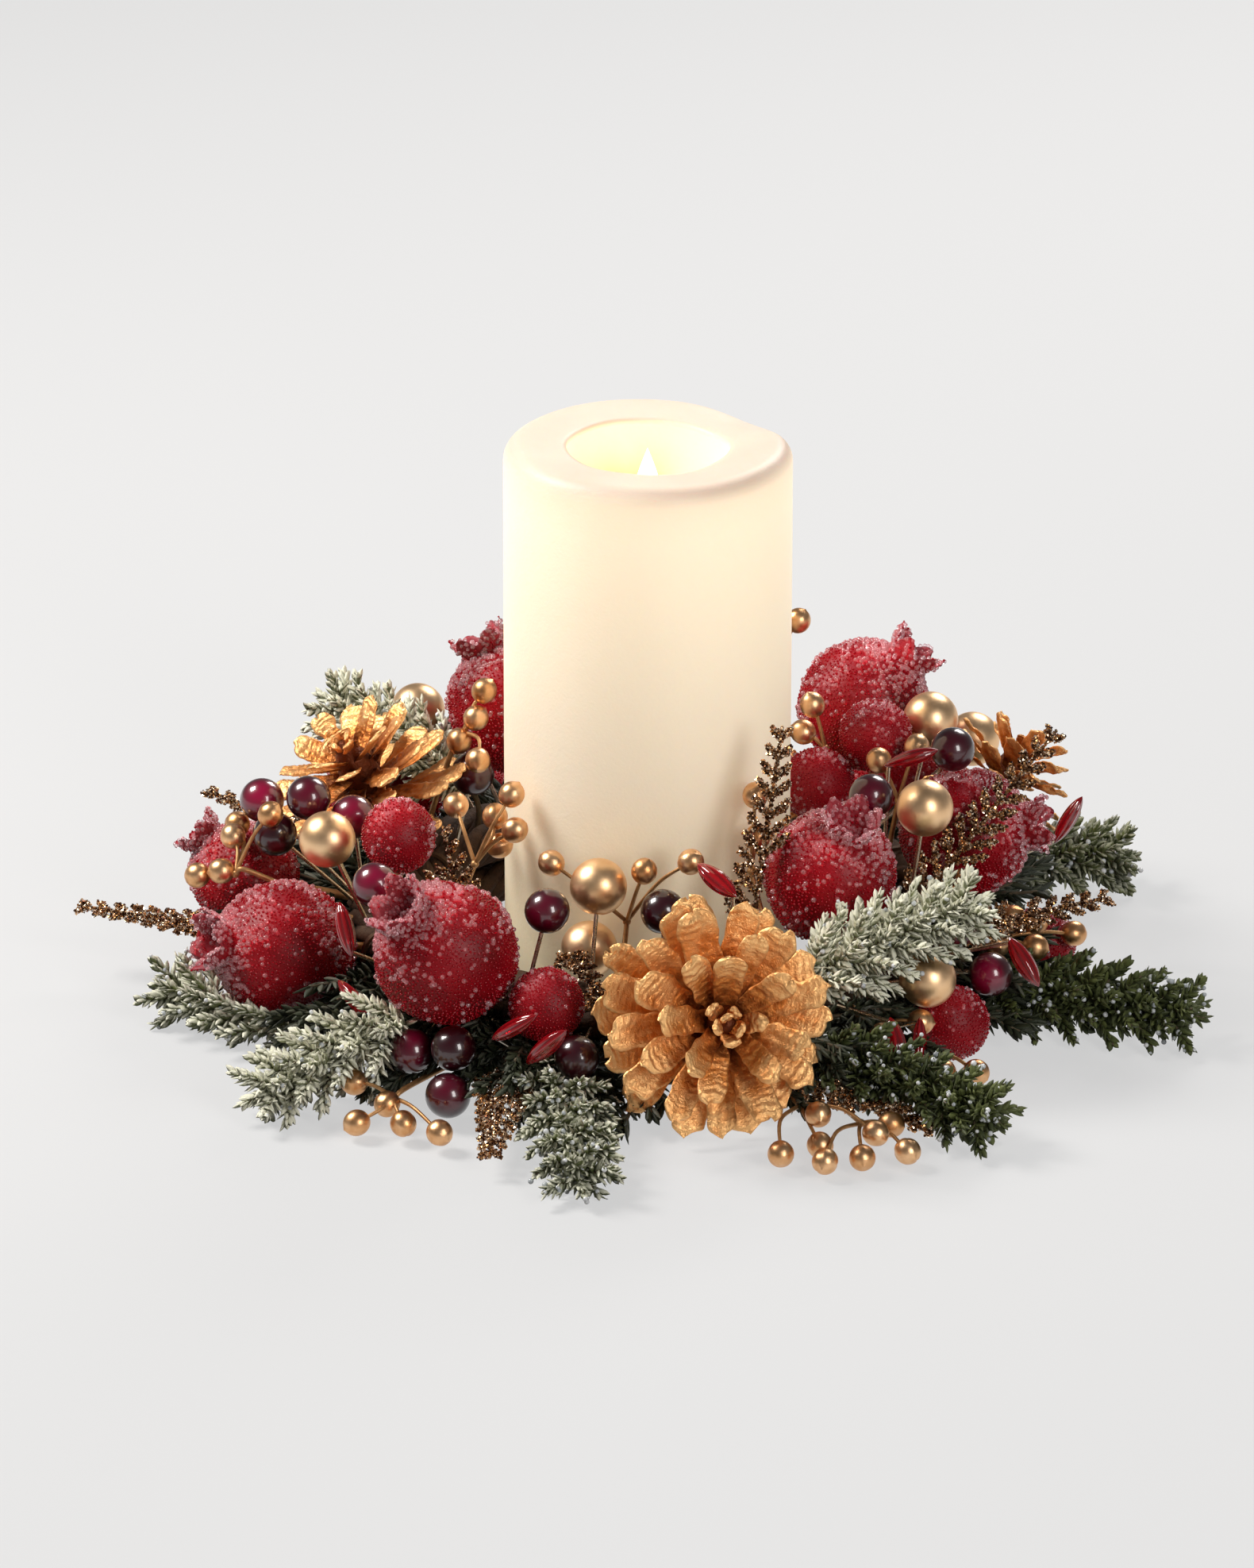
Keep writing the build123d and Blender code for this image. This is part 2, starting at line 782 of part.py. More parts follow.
    def try_needle(self, base, way, reach, radius, start, found, owner):
        """Keeps a needle at full or at half length if it meets nothing."""
        for share in (1, short_needle_share):
            a = plus(base, times(way, start + 2 * radius))
            b = plus(base, times(way, reach * share))
            if self.clutter.is_clear(a, b, radius, owner, hoops=True):
                found.append((base, way, reach * share))
                self.clutter.add(a, b, radius, owner)
                return

    def set_leaflets(self, twig):
        """Leaflets in pairs on the two sides of a fern's stem."""
        if twig is None:
            return []
        _, root, tip = twig
        run = minus(tip, root)
        forward = unit(run)
        outward = heading(azimuth_of(times(plus(root, tip), 0.5)))
        face = unit(plus(times(outward, fern_tilt_share), (0, 0, 1)))
        side = unit(cross(forward, face))
        lean = math.radians(leaflet_lean)
        found = []
        count = int(length_of(run) / leaflet_step)
        for n in range(count + 1):
            share = (n + first_whorl_share) / (count + 2 * first_whorl_share)
            base = plus(root, times(run, share))
            reach = leaflet_length * (1 - leaflet_taper_share * share)
            for hand in (-1, 1):
                way = plus(times(forward, math.cos(lean)), times(side, hand * math.sin(lean)))
                self.try_needle(base, way, reach, leaflet_radius, fern_stem_radius, found, twig)
        return found


def band_azimuths():
    return [360 / band_count * (n + 0.5) for n in range(band_count)]


def aim(point, way):
    """Plane at a point with its Z axis along a direction."""
    return Plane(origin=point, z_dir=way)


def profile_plane(point, way):
    """Plane through an axis: its Y runs along the direction, its X out from it."""
    upright = aim(point, way)
    return Plane(origin=point, x_dir=upright.x_dir, z_dir=-upright.y_dir)


def finish(builder, name):
    """Labels a finished piece and writes it."""
    builder.part.label = name
    export_step(builder.part, "parts/" + name + ".step")
    solids = builder.part.solids()
    print(name, len(solids), "solids", round(builder.part.volume))


def make_wax_shell():
    """Wax pillar with a bowl at the top, a melted dip in its rim and room for the works inside."""
    with BuildPart() as wax_shell:
        Cylinder(candle_radius, candle_height, align=standing)
        fillet(wax_shell.edges().group_by(Axis.Z)[-1], rim_round)
        floor_edge = (crater_floor_radius, crater_floor_z)
        mouth_edge = (crater_mouth_radius, candle_height)
        sag = (crater_mouth_radius - crater_floor_radius) * crater_sag_share
        middle = ((floor_edge[0] + mouth_edge[0] + sag) / 2, (floor_edge[1] + mouth_edge[1] - sag) / 2)
        with BuildSketch(Plane.XZ):
            with BuildLine():
                Line((0, crater_floor_z), floor_edge)
                ThreePointArc(floor_edge, middle, mouth_edge)
                Polyline(mouth_edge, (crater_mouth_radius, candle_height + overrun), (0, candle_height + overrun),
                         (0, crater_floor_z))
            make_face()
        revolve(axis=Axis.Z, mode=Mode.SUBTRACT)
        dip = plus(times(heading(dip_azimuth), candle_radius - rim_round), (0, 0, candle_height - dip_depth))
        with Locations(plus(dip, (0, 0, dip_radius))):
            Sphere(dip_radius, mode=Mode.SUBTRACT)
        Cylinder(cavity_radius, cavity_top_z, align=standing, mode=Mode.SUBTRACT)
        Cylinder(base_radius + slip_gap, base_thickness, align=standing, mode=Mode.SUBTRACT)
        Cylinder(collar_radius + slip_gap, crater_floor_z + overrun, align=standing, mode=Mode.SUBTRACT)
    finish(wax_shell, "wax_shell")


def make_core_housing():
    """Plastic can inside the wax that holds the works, with screw bosses at its foot."""
    height = core_top_z - base_thickness
    with BuildPart() as core_housing:
        with Locations((0, 0, base_thickness)):
            Cylinder(core_radius, height, align=standing)
            Cylinder(core_radius - core_wall, height - core_top_thickness, align=standing, mode=Mode.SUBTRACT)
        Cylinder(tray_radius + slip_gap, core_top_z + overrun, align=standing, mode=Mode.SUBTRACT)
        with Locations((0, 0, base_thickness)):
            with PolarLocations(screw_circle_radius, screw_count, screw_azimuth):
                Cylinder(boss_radius, boss_height, align=standing)
                Cylinder(boss_bore_radius, boss_height - boss_radius, align=standing, mode=Mode.SUBTRACT)
    finish(core_housing, "core_housing")


def make_base_plate():
    """Round foot of the candle with the battery well, the door's opening and the switch's slot."""
    slot_length = knob_length + knob_travel + 2 * slip_gap
    with BuildPart() as base_plate:
        Cylinder(base_radius, base_thickness, align=standing)
        with Locations((0, 0, base_thickness)):
            Cylinder(well_radius + well_wall, well_top_z - base_thickness, align=standing)
            Cylinder(well_radius, well_top_z - base_thickness, align=standing, mode=Mode.SUBTRACT)
        Cylinder(door_opening_radius, base_thickness, align=standing, mode=Mode.SUBTRACT)
        with PolarLocations(door_radius - lug_length, lug_count, screw_azimuth + door_turn):
            Box(well_radius - door_radius + lug_length, lug_width + 2 * slip_gap, base_thickness,
                align=(Align.MIN, Align.CENTER, Align.MIN), mode=Mode.SUBTRACT)
        with PolarLocations(screw_circle_radius, screw_count, screw_azimuth):
            Cylinder(screw_radius + slip_gap, base_thickness, align=standing, mode=Mode.SUBTRACT)
            Cylinder(screw_head_radius + slip_gap, screw_head_height + slip_gap, align=standing,
                     mode=Mode.SUBTRACT)
        with Locations((0, -switch_offset, 0)):
            Box(slot_length, knob_width + 2 * slip_gap, base_thickness, align=standing, mode=Mode.SUBTRACT)
    finish(base_plate, "base_plate")


def make_base_screws():
    """Three screws that hold the base plate to the core housing."""
    with BuildPart() as base_screws:
        with PolarLocations(screw_circle_radius, screw_count, screw_azimuth):
            with Locations((0, 0, slip_gap)):
                Cylinder(screw_head_radius, screw_head_height, align=standing)
                Cylinder(screw_radius, screw_length, align=standing)
                Cylinder(screw_socket_radius, screw_socket_depth, align=standing, mode=Mode.SUBTRACT)
    finish(base_screws, "base_screws")


def make_battery_door():
    """Round door that turns to lock: three lugs hook over the rim of its opening."""
    lug_top_z = lug_bottom_z + lug_thickness
    with BuildPart() as battery_door:
        Cylinder(door_radius, door_thickness, align=standing)
        with PolarLocations(door_radius - lug_length, lug_count, screw_azimuth):
            Box(lug_length - slip_gap, lug_width, lug_top_z, align=(Align.MIN, Align.CENTER, Align.MIN))
            with Locations((0, 0, lug_bottom_z)):
                Box(lug_reach - door_radius + lug_length, lug_width, lug_thickness,
                    align=(Align.MIN, Align.CENTER, Align.MIN))
        with Locations((0, finger_recess_offset, 0), (0, -finger_recess_offset, 0)):
            Box(finger_recess_length, finger_recess_width, finger_recess_depth, align=standing,
                mode=Mode.SUBTRACT)
    finish(battery_door, "battery_door")


def make_door_contact():
    """Metal bridge on the door with two sprung cones that press on the cells."""
    with BuildPart() as door_contact:
        with Locations((0, 0, door_thickness)):
            Box(cell_spacing + 2 * contact_cone_radius, contact_width, contact_thickness, align=standing)
        with Locations((-cell_spacing / 2, 0, door_thickness), (cell_spacing / 2, 0, door_thickness)):
            Cone(contact_cone_radius, contact_cone_tip_radius, contact_thickness + contact_cone_height,
                 align=standing)
    finish(door_contact, "door_contact")


def make_batteries():
    """Two cells side by side, one the other way up."""
    can = cell_length - cell_nub_height
    with BuildPart() as batteries:
        with Locations((-cell_spacing / 2, 0, cell_bottom_z)):
            Cylinder(cell_radius, can, align=standing)
            Cylinder(cell_nub_radius, cell_length, align=standing)
        with Locations((cell_spacing / 2, 0, cell_bottom_z)):
            Cylinder(cell_nub_radius, cell_length, align=standing)
        with Locations((cell_spacing / 2, 0, cell_bottom_z + cell_nub_height)):
            Cylinder(cell_radius, can, align=standing)
    finish(batteries, "batteries")


def make_top_contacts():
    """Two flat contacts under the well's cap."""
    with BuildPart() as top_contacts:
        with Locations((-cell_spacing / 2, 0, well_top_z - contact_thickness),
                       (cell_spacing / 2, 0, well_top_z - contact_thickness)):
            Cylinder(top_contact_radius, contact_thickness, align=standing)
    finish(top_contacts, "top_contacts")


def board_corners():
    return GridLocations(board_length - 2 * board_post_inset, board_width - 2 * board_post_inset, 2, 2)


def make_well_cap():
    """Cap of the battery well with four posts for the circuit board."""
    with BuildPart() as well_cap:
        with Locations((0, 0, well_top_z)):
            Cylinder(well_radius + well_wall, cap_thickness, align=standing)
            with board_corners():
                Cylinder(cap_post_radius, cap_thickness + cap_post_height, align=standing)
    finish(well_cap, "well_cap")


def make_circuit_board():
    """Circuit board on the cap's posts."""
    with BuildPart() as circuit_board:
        with Locations((0, 0, board_bottom_z)):
            Box(board_length, board_width, board_thickness, align=standing)
        fillet(circuit_board.edges().filter_by(Axis.Z), cap_post_radius)
    finish(circuit_board, "circuit_board")


def make_timer_chip():
    """Timer and flicker chip on the board."""
    with BuildPart() as timer_chip:
        with Locations((-chip_offset, 0, board_top_z)):
            Box(chip_length, chip_width, chip_height, align=standing)
        chamfer(timer_chip.faces().sort_by(Axis.Z)[-1].edges(), chip_height / 6)
    finish(timer_chip, "timer_chip")


def make_capacitor():
    """Capacitor that stands on the board."""
    with BuildPart() as capacitor:
        with Locations((chip_offset, 0, board_top_z)):
            Cylinder(capacitor_radius, capacitor_height, align=standing)
        fillet(capacitor.edges().group_by(Axis.Z)[-1], capacitor_radius / 5)
    finish(capacitor, "capacitor")


def make_lead_wires():
    """Two leads from the board up to the light tray, and two from the switch up and over to the board."""
    over_z = board_top_z + lead_radius + lead_gap
    switch_top_z = base_thickness + switch_height + lead_gap
    with BuildPart() as lead_wires:
        for side in (-1, 1):
            with Locations((side * lead_spacing, lead_offset, board_top_z + lead_gap)):
                Cylinder(lead_radius, tray_bottom_z - board_top_z - 2 * lead_gap, align=standing)
            start = (side * lead_spacing / 2, -switch_offset, switch_top_z)
            corner = (start[0], start[1], over_z)
            end = (start[0], -board_width / 2 + 2 * lead_bend_radius, over_z)
            with BuildLine() as route:
                FilletPolyline(start, corner, end, radius=lead_bend_radius)
            with BuildSketch(aim(start, (0, 0, 1))):
                Circle(lead_radius)
            sweep(path=route.wire())
    finish(lead_wires, "lead_wires")


def make_switch_body():
    """Slide switch body on the base plate, with room for the knob's stem to travel."""
    slot_length = knob_length + knob_travel + 2 * slip_gap
    with BuildPart() as switch_body:
        with Locations((0, -switch_offset, base_thickness)):
            Box(switch_length, switch_width, switch_height, align=standing)
            Box(slot_length, knob_width + 2 * slip_gap, knob_stem_height + slip_gap, align=standing,
                mode=Mode.SUBTRACT)
    finish(switch_body, "switch_body")


def make_switch_knob():
    """Knob of the slide switch, at the end of its travel where the candle is on."""
    with BuildPart() as switch_knob:
        with Locations((-knob_travel / 2, -switch_offset, knob_recess)):
            Box(knob_length, knob_width, base_thickness - knob_recess + knob_stem_height, align=standing)
        chamfer(switch_knob.faces().sort_by(Axis.Z)[0].edges(), knob_recess / 2)
    finish(switch_knob, "switch_knob")


def make_light_tray():
    """Cup that hangs in the core housing's top and holds the coil and the lamp."""
    with BuildPart() as light_tray:
        with Locations((0, 0, tray_bottom_z)):
            Cylinder(tray_radius, tray_depth, align=standing)
        with Locations((0, 0, core_top_z)):
            Cylinder(tray_flange_radius, tray_flange_thickness, align=standing)
        with Locations((0, 0, tray_bottom_z + tray_floor)):
            Cylinder(tray_bore_radius, tray_depth + tray_flange_thickness, align=standing, mode=Mode.SUBTRACT)
        with Locations((0, led_offset - led_radius, led_shelf_z)):
            Box(led_shelf_width, tray_bore_radius + tray_wall / 2 - led_offset + led_radius, led_shelf_thickness,
                align=(Align.CENTER, Align.MIN, Align.MIN))
    finish(light_tray, "light_tray")


def make_drive_coil():
    """Coil on the tray's floor that swings the flame by its magnet."""
    with BuildPart() as drive_coil:
        with Locations((0, 0, tray_bottom_z + tray_floor)):
            Cylinder(coil_radius, coil_flange_thickness, align=standing)
            Cylinder(coil_radius - coil_winding_inset, coil_height, align=standing)
        with Locations((0, 0, tray_bottom_z + tray_floor + coil_height - coil_flange_thickness)):
            Cylinder(coil_radius, coil_flange_thickness, align=standing)
        with Locations((0, 0, tray_bottom_z + tray_floor)):
            Cylinder(coil_bore_radius, coil_height, align=standing, mode=Mode.SUBTRACT)
    finish(drive_coil, "drive_coil")


def make_flame_collar():
    """Collar in the floor of the bowl that carries the flame's pivot wire."""
    with BuildPart() as flame_collar:
        with Locations((0, 0, collar_bottom_z)):
            Cylinder(collar_radius, collar_depth, align=standing)
        with Locations((0, 0, crater_floor_z)):
            Cylinder(collar_lip_radius, collar_lip_thickness, align=standing)
        with Locations((0, 0, collar_bottom_z)):
            Cylinder(collar_radius - collar_wall, collar_depth + collar_lip_thickness, align=standing,
                     mode=Mode.SUBTRACT)
        with Locations(aim((0, 0, pivot_z), (1, 0, 0))):
            Cylinder(pivot_radius + running_gap, 2 * collar_radius + overrun, mode=Mode.SUBTRACT)
    finish(flame_collar, "flame_collar")


def make_pivot_wire():
    """Thin wire across the collar on which the flame hangs."""
    with BuildPart() as pivot_wire:
        with Locations(aim((0, 0, pivot_z), (1, 0, 0))):
            Cylinder(pivot_radius, pivot_length)
    finish(pivot_wire, "pivot_wire")


def make_flame_leaf():
    """Thin flame blade: a teardrop above the pivot and a tail below it."""
    tip = (0, pivot_z + leaf_tip_rise)
    belly = (leaf_width / 2, pivot_z + leaf_tip_rise * leaf_belly_share)
    neck = (leaf_neck_width / 2, pivot_z + pivot_radius)
    tail = (leaf_tail_width / 2, pivot_z - leaf_tail_drop)
    shoulder = (leaf_width * leaf_shoulder_share, pivot_z + leaf_tip_rise * leaf_shoulder_rise_share)
    with BuildPart() as flame_leaf:
        with BuildSketch(Plane.XZ):
            with BuildLine():
                Spline(neck, belly, shoulder, tip)
                Line(neck, tail)
                Line(tail, (0, tail[1]))
                mirror(about=Plane.YZ)
            make_face()
        extrude(amount=leaf_thickness / 2, both=True)
        with Locations(aim((0, 0, pivot_z), (1, 0, 0))):
            Cylinder(pivot_radius + running_gap, leaf_width, mode=Mode.SUBTRACT)
    finish(flame_leaf, "flame_leaf")


def make_tail_magnet():
    """Magnet under the flame's tail."""
    with BuildPart() as tail_magnet:
        with Locations((0, 0, pivot_z - leaf_tail_drop - magnet_height)):
            Cylinder(magnet_radius, magnet_height, align=standing)
    finish(tail_magnet, "tail_magnet")


def make_flame_led():
    """Warm lamp behind the flame's blade, aimed up at it."""
    with BuildPart() as flame_led:
        with Locations((0, led_offset, led_shelf_z + led_shelf_thickness)):
            Cylinder(led_radius, led_height - led_radius, align=standing)
        with Locations((0, led_offset, led_shelf_z + led_shelf_thickness + led_height - led_radius)):
            Sphere(led_radius)
    finish(flame_led, "flame_led")


def make_hoops():
    """Four vine hoops in a bundle two wide and two high."""
    names = ["vine_hoop_inner_lower", "vine_hoop_outer_lower", "vine_hoop_inner_upper",
             "vine_hoop_outer_upper"]
    for name, (out, up) in zip(names, hoop_points()):
        with BuildPart() as hoop:
            with Locations((0, 0, up)):
                Torus(out, hoop_tube_radius)
        finish(hoop, name)


def make_tie_bands():
    """Bands of flat tie wire round the bundle; the ring stands on them."""
    planes = []
    for azimuth in band_azimuths():
        level = heading(azimuth)
        middle = plus(times(level, ring_radius), (0, 0, bundle_z))
        planes.append(Plane(origin=middle, x_dir=level, z_dir=(level[1], -level[0], 0)))
    inner = 2 * (bundle_half - band_thickness)
    with BuildPart() as tie_bands:
        with BuildSketch(*planes):
            RectangleRounded(2 * bundle_half, 2 * bundle_half, band_corner_radius)
            RectangleRounded(inner, inner, band_corner_radius - band_thickness, mode=Mode.SUBTRACT)
        extrude(amount=band_width / 2, both=True)
    finish(tie_bands, "tie_bands")


def make_pomegranate(ball, azimuth, lift, name):
    """Round fruit with a toothed crown."""
    r = ball.radius
    way = heading(azimuth, lift)
    crown_r, crown_h, wall = r * crown_radius_share, r * crown_length_share, r * crown_wall_share
    neck_y = math.sqrt(r * r - (crown_r - wall) ** 2)
    with BuildPart() as fruit:
        with BuildSketch(profile_plane(ball.centre, way)):
            with BuildLine():
                Line((0, -r), (0, neck_y - wall))
                Polyline((0, neck_y - wall), (crown_r - 2 * wall, neck_y), (crown_r - wall, r + crown_h),
                         (crown_r, r + crown_h), (crown_r - wall, neck_y))
                ThreePointArc((crown_r - wall, neck_y), (r, 0), (0, -r))
            make_face()
        revolve(axis=Axis(ball.centre, way))
        with Locations(aim(plus(ball.centre, times(way, r + crown_h)), way)):
            with PolarLocations(crown_r, crown_teeth):
                Box(crown_r, crown_r * crown_notch_share, 2 * r * crown_tooth_share, mode=Mode.SUBTRACT)
    finish(fruit, name)


def make_cone(ball, length_share, azimuth, lift, name):
    """Open cone: a core with whorls of scales, wide near its foot and narrow at its tip."""
    way = heading(azimuth, lift)
    upright = aim(ball.centre, way)
    size = ball.radius / cone_radius
    half = ball.radius * length_share
    core = ball.radius * cone_core_share
    count = max(fewest_scales, round(scales_round * (1 - small_cone_share * (1 - size))))
    with BuildPart() as cone:
        with BuildSketch(aim(minus(ball.centre, times(way, half * core_foot_share)), way)):
            RegularPolygon(core, core_sides)
        extrude(amount=half * core_length_share)
        for n in range(cone_whorls):
            share = n / (cone_whorls - 1)
            lift_angle = scale_low_lift + (scale_high_lift - scale_low_lift) * share
            reach = ball.radius * (1 - cone_taper_share * share) * (cone_foot_share if n == 0 else 1)
            root = core * scale_seat_share
            rise = half * (cone_low_share + (cone_high_share - cone_low_share) * share)
            width = scale_width * size * (1 - scale_narrow_share * share)
            planes = []
            for m in range(count):
                turn = 360 * (m + (n % 2) / 2) / count
                local = Location((0, 0, rise), (0, 0, turn)) * Location((root, 0, 0), (0, -lift_angle, 0))
                planes.append(Plane(upright.location * local))
            run = (reach - root) * (1 if 2 * share < 1 else inner_scale_share)
            shoulder, tip = run * scale_shoulder_share, width * scale_tip_share
            foot = width * scale_foot_share
            with BuildSketch(*planes):
                with BuildLine():
                    Polyline((0, -foot), (shoulder, -width / 2), (run, -tip), (run, tip),
                             (shoulder, width / 2), (0, foot), close=True)
                make_face()
        extrude(amount=scale_thickness * size / 2, both=True)
    finish(cone, name)


def add_wire(way, radius):
    """Adds a wire along its straight runs, with a round joint at each bend."""
    for a, b in zip(way, way[1:]):
        with Locations(aim(a, minus(b, a))):
            Cylinder(radius, length_of(minus(b, a)), align=standing)
    if way[1:-1]:
        with Locations(*way[1:-1]):
            Sphere(radius * joint_share)


def blade(base, way, reach, radius, tip_radius):
    """Four-sided rod that tapers from its base to its tip."""
    rod = Wedge(2 * radius, reach, 2 * radius, radius - tip_radius, radius - tip_radius, radius + tip_radius,
                radius + tip_radius, align=(Align.CENTER, Align.MIN, Align.CENTER), mode=Mode.PRIVATE)
    return rod.moved(profile_plane(base, way).location)


def make_balls(balls, radius, name):
    """A set of equal round pieces."""
    with BuildPart() as group:
        with Locations(*[ball.centre for ball in balls]):
            Sphere(radius)
    finish(group, name)


def make_wires(ways, radius, name):
    """A set of stems or wires."""
    with BuildPart() as group:
        for way in ways:
            add_wire(way, radius)
    finish(group, name)


def run_blades(way, radius):
    """Flat-sided stem along a way, each run begun a little early so that it joins the one before it."""
    blades = []
    for a, b in zip(way, way[1:]):
        step = unit(minus(b, a))
        start = minus(a, times(step, radius * bury_share))
        blades.append(blade(start, step, length_of(minus(b, start)), radius, radius))
    return blades


def make_spray_stems(sprays):
    """Stems of the gold berries: each is one stem to the hoops with a fork and a wire to each berry."""
    done = []
    for fork, way, berries in sprays:
        blades = run_blades(way, spray_stem_radius)
        for ball in berries:
            blades += run_blades([fork, ball.centre], wire_blade_radius)
        with BuildPart() as spray:
            add(blades)
        done.append(spray.part)
    with BuildPart() as spray_stems:
        add(done)
    finish(spray_stems, "spray_stems")


def make_petals(petals):
    """Long pointed beads."""
    with BuildPart() as petal_beads:
        for a, b in petals:
            middle, way = times(plus(a, b), 0.5), unit(minus(b, a))
            half = petal_length / 2
            tip = petal_radius * petal_tip_share
            with BuildSketch(profile_plane(middle, way)):
                with BuildLine():
                    Polyline((0, -half), (tip, -half), (petal_radius, 0), (tip, half), (0, half), close=True)
                make_face()
            revolve(axis=Axis(middle, way))
    finish(petal_beads, "petal_beads")


def twig_blades(twig, radius, tip_radius):
    """A twig's foot in the hoops and its run that tapers."""
    foot, root, tip = twig
    up, run = minus(root, foot), minus(tip, root)
    start = minus(root, times(unit(run), radius * bury_share))
    return [blade(foot, unit(up), length_of(up) + radius * twig_knee_share, radius, radius),
            blade(start, unit(run), length_of(minus(tip, start)), radius * twig_slim_share, tip_radius)]


def side_blades(points, start, radius, tip_radius):
    """Needles or leaflets that start inside a twig's skin."""
    return [blade(plus(base, times(way, start)), way, reach - start, radius, tip_radius)
            for base, way, reach in points]


def make_sprig(twig, needles, name):
    """Pine sprig: a twig with needles round it."""
    blades = twig_blades(twig, twig_radius, twig_tip_radius)
    blades += side_blades(needles, twig_tip_radius * needle_root_share, needle_radius, needle_tip_radius)
    with BuildPart() as sprig:
        add(blades)
    finish(sprig, name)


def make_ferns(ferns, leaflets):
    """Glitter ferns: flat sprays with leaflets in pairs."""
    done = []
    for twig, points in zip(ferns, leaflets):
        blades = twig_blades(twig, fern_stem_radius, fern_tip_radius)
        blades += side_blades(points, fern_tip_radius * needle_root_share, leaflet_radius, leaflet_tip_radius)
        with BuildPart() as fern:
            add(blades)
        done.append(fern.part)
    with BuildPart() as glitter_ferns:
        add(done)
    finish(glitter_ferns, "glitter_ferns")


def make_candle():
    """The pillar candle and its works."""
    make_wax_shell()
    make_core_housing()
    make_base_plate()
    make_base_screws()
    make_battery_door()
    make_door_contact()
    make_batteries()
    make_top_contacts()
    make_well_cap()
    make_circuit_board()
    make_timer_chip()
    make_capacitor()
    make_lead_wires()
    make_switch_body()
    make_switch_knob()
    make_light_tray()
    make_drive_coil()
    make_flame_collar()
    make_pivot_wire()
    make_flame_leaf()
    make_tail_magnet()
    make_flame_led()


def make_ring():
    """The vine ring and everything wired to it."""
    layout = Layout()
    for missed in layout.missed:
        print("no free place or way for", missed[0], [round(v) for v in missed[1]])
    make_hoops()
    make_tie_bands()
    for n, (ball, row) in enumerate(zip(layout.pomegranates, pomegranate_shares)):
        make_pomegranate(ball, row[4], row[5], "pomegranate_" + str(n + 1))
    for n, (ball, row) in enumerate(zip(layout.cones, cone_shares)):
        make_cone(ball, row[4], row[5], row[6], "pine_cone_" + str(n + 1))
    make_balls(layout.fruits, fruit_radius, "frosted_fruits")
    make_balls(layout.gold_balls, gold_ball_radius, "gold_balls")
    make_balls(layout.burgundy, burgundy_radius, "burgundy_berries")
    make_petals(layout.petals)
    make_wires([way for way in layout.stems if way], stem_radius, "fruit_stems")
    make_wires([way for way in layout.wires + layout.petal_wires if way], wire_radius, "berry_wires")
    sprays = [spray for spray in layout.sprays if spray]
    make_balls([ball for spray in sprays for ball in spray[2]], gold_berry_radius, "gold_berries")
    make_spray_stems(sprays)
    for n, (twig, needles) in enumerate(zip(layout.sprigs, layout.needles)):
        if twig:
            make_sprig(twig, needles, "pine_sprig_" + str(n + 1))
    kept = [(twig, points) for twig, points in zip(layout.ferns, layout.leaflets) if twig]
    make_ferns([pair[0] for pair in kept], [pair[1] for pair in kept])


os.makedirs("parts", exist_ok=True)
make_candle()
make_ring()
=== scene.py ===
"""Looks of the candle ring: beaded fruit, gold cones, frosted sprigs and berries round a lit pillar.

Everything is in metres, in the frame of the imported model. Each decoration takes its place from its own solid.
"""

import logging
import math
from dataclasses import dataclass
from enum import Enum
from typing import Iterable, Sequence

import bpy
import numpy as np
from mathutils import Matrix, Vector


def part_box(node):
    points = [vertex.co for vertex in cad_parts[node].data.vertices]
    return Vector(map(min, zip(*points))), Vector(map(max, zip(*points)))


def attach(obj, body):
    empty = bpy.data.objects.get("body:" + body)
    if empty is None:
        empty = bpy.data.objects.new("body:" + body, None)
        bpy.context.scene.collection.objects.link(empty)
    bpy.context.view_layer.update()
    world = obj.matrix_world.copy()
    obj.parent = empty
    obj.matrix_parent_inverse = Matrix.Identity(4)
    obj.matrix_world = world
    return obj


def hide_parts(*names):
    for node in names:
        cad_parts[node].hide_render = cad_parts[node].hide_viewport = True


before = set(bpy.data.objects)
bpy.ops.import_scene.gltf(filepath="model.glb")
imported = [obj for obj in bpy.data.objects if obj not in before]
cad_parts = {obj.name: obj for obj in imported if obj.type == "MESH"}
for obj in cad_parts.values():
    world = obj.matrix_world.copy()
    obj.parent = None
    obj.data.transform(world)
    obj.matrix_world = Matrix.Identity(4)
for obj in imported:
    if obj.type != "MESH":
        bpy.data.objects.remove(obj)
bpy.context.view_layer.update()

log = logging.getLogger("candle_ring")
Array = np.ndarray
Colour = tuple[float, float, float]
Place = tuple[float, float, float]
Random = np.random.Generator
Pair = tuple[Array, Array]
Node = bpy.types.Node
Tree = bpy.types.NodeTree
Socket = bpy.types.NodeSocket
Inputs = dict[str, object]
seeded = np.random.default_rng
norm = np.linalg.norm

MM = 0.001
GOLDEN_ANGLE = math.pi * (3 - math.sqrt(5))
UP = np.array((0.0, 0.0, 1.0))
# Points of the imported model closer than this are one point.
WELD = 2e-6
# Random phases and rolls run from 0 to this, in radians.
PHASE = 6
# Middle line of the bundle of vines.
VINE_RADIUS = 92 * MM
VINE_HEIGHT = 17 * MM


# Small vector helpers

def unit(vectors: Array) -> Array:
    """Scales each vector to length one."""
    size = norm(vectors, axis=-1, keepdims=True)
    return vectors / np.maximum(size, 1e-12)


def side_of(ways: Array) -> Array:
    """A unit vector square to each direction."""
    ways = np.atleast_2d(ways)
    helper = np.where(np.abs(ways[:, 2:3]) < 0.9, UP, np.array((1.0, 0.0, 0.0)))
    return unit(np.cross(helper, ways))


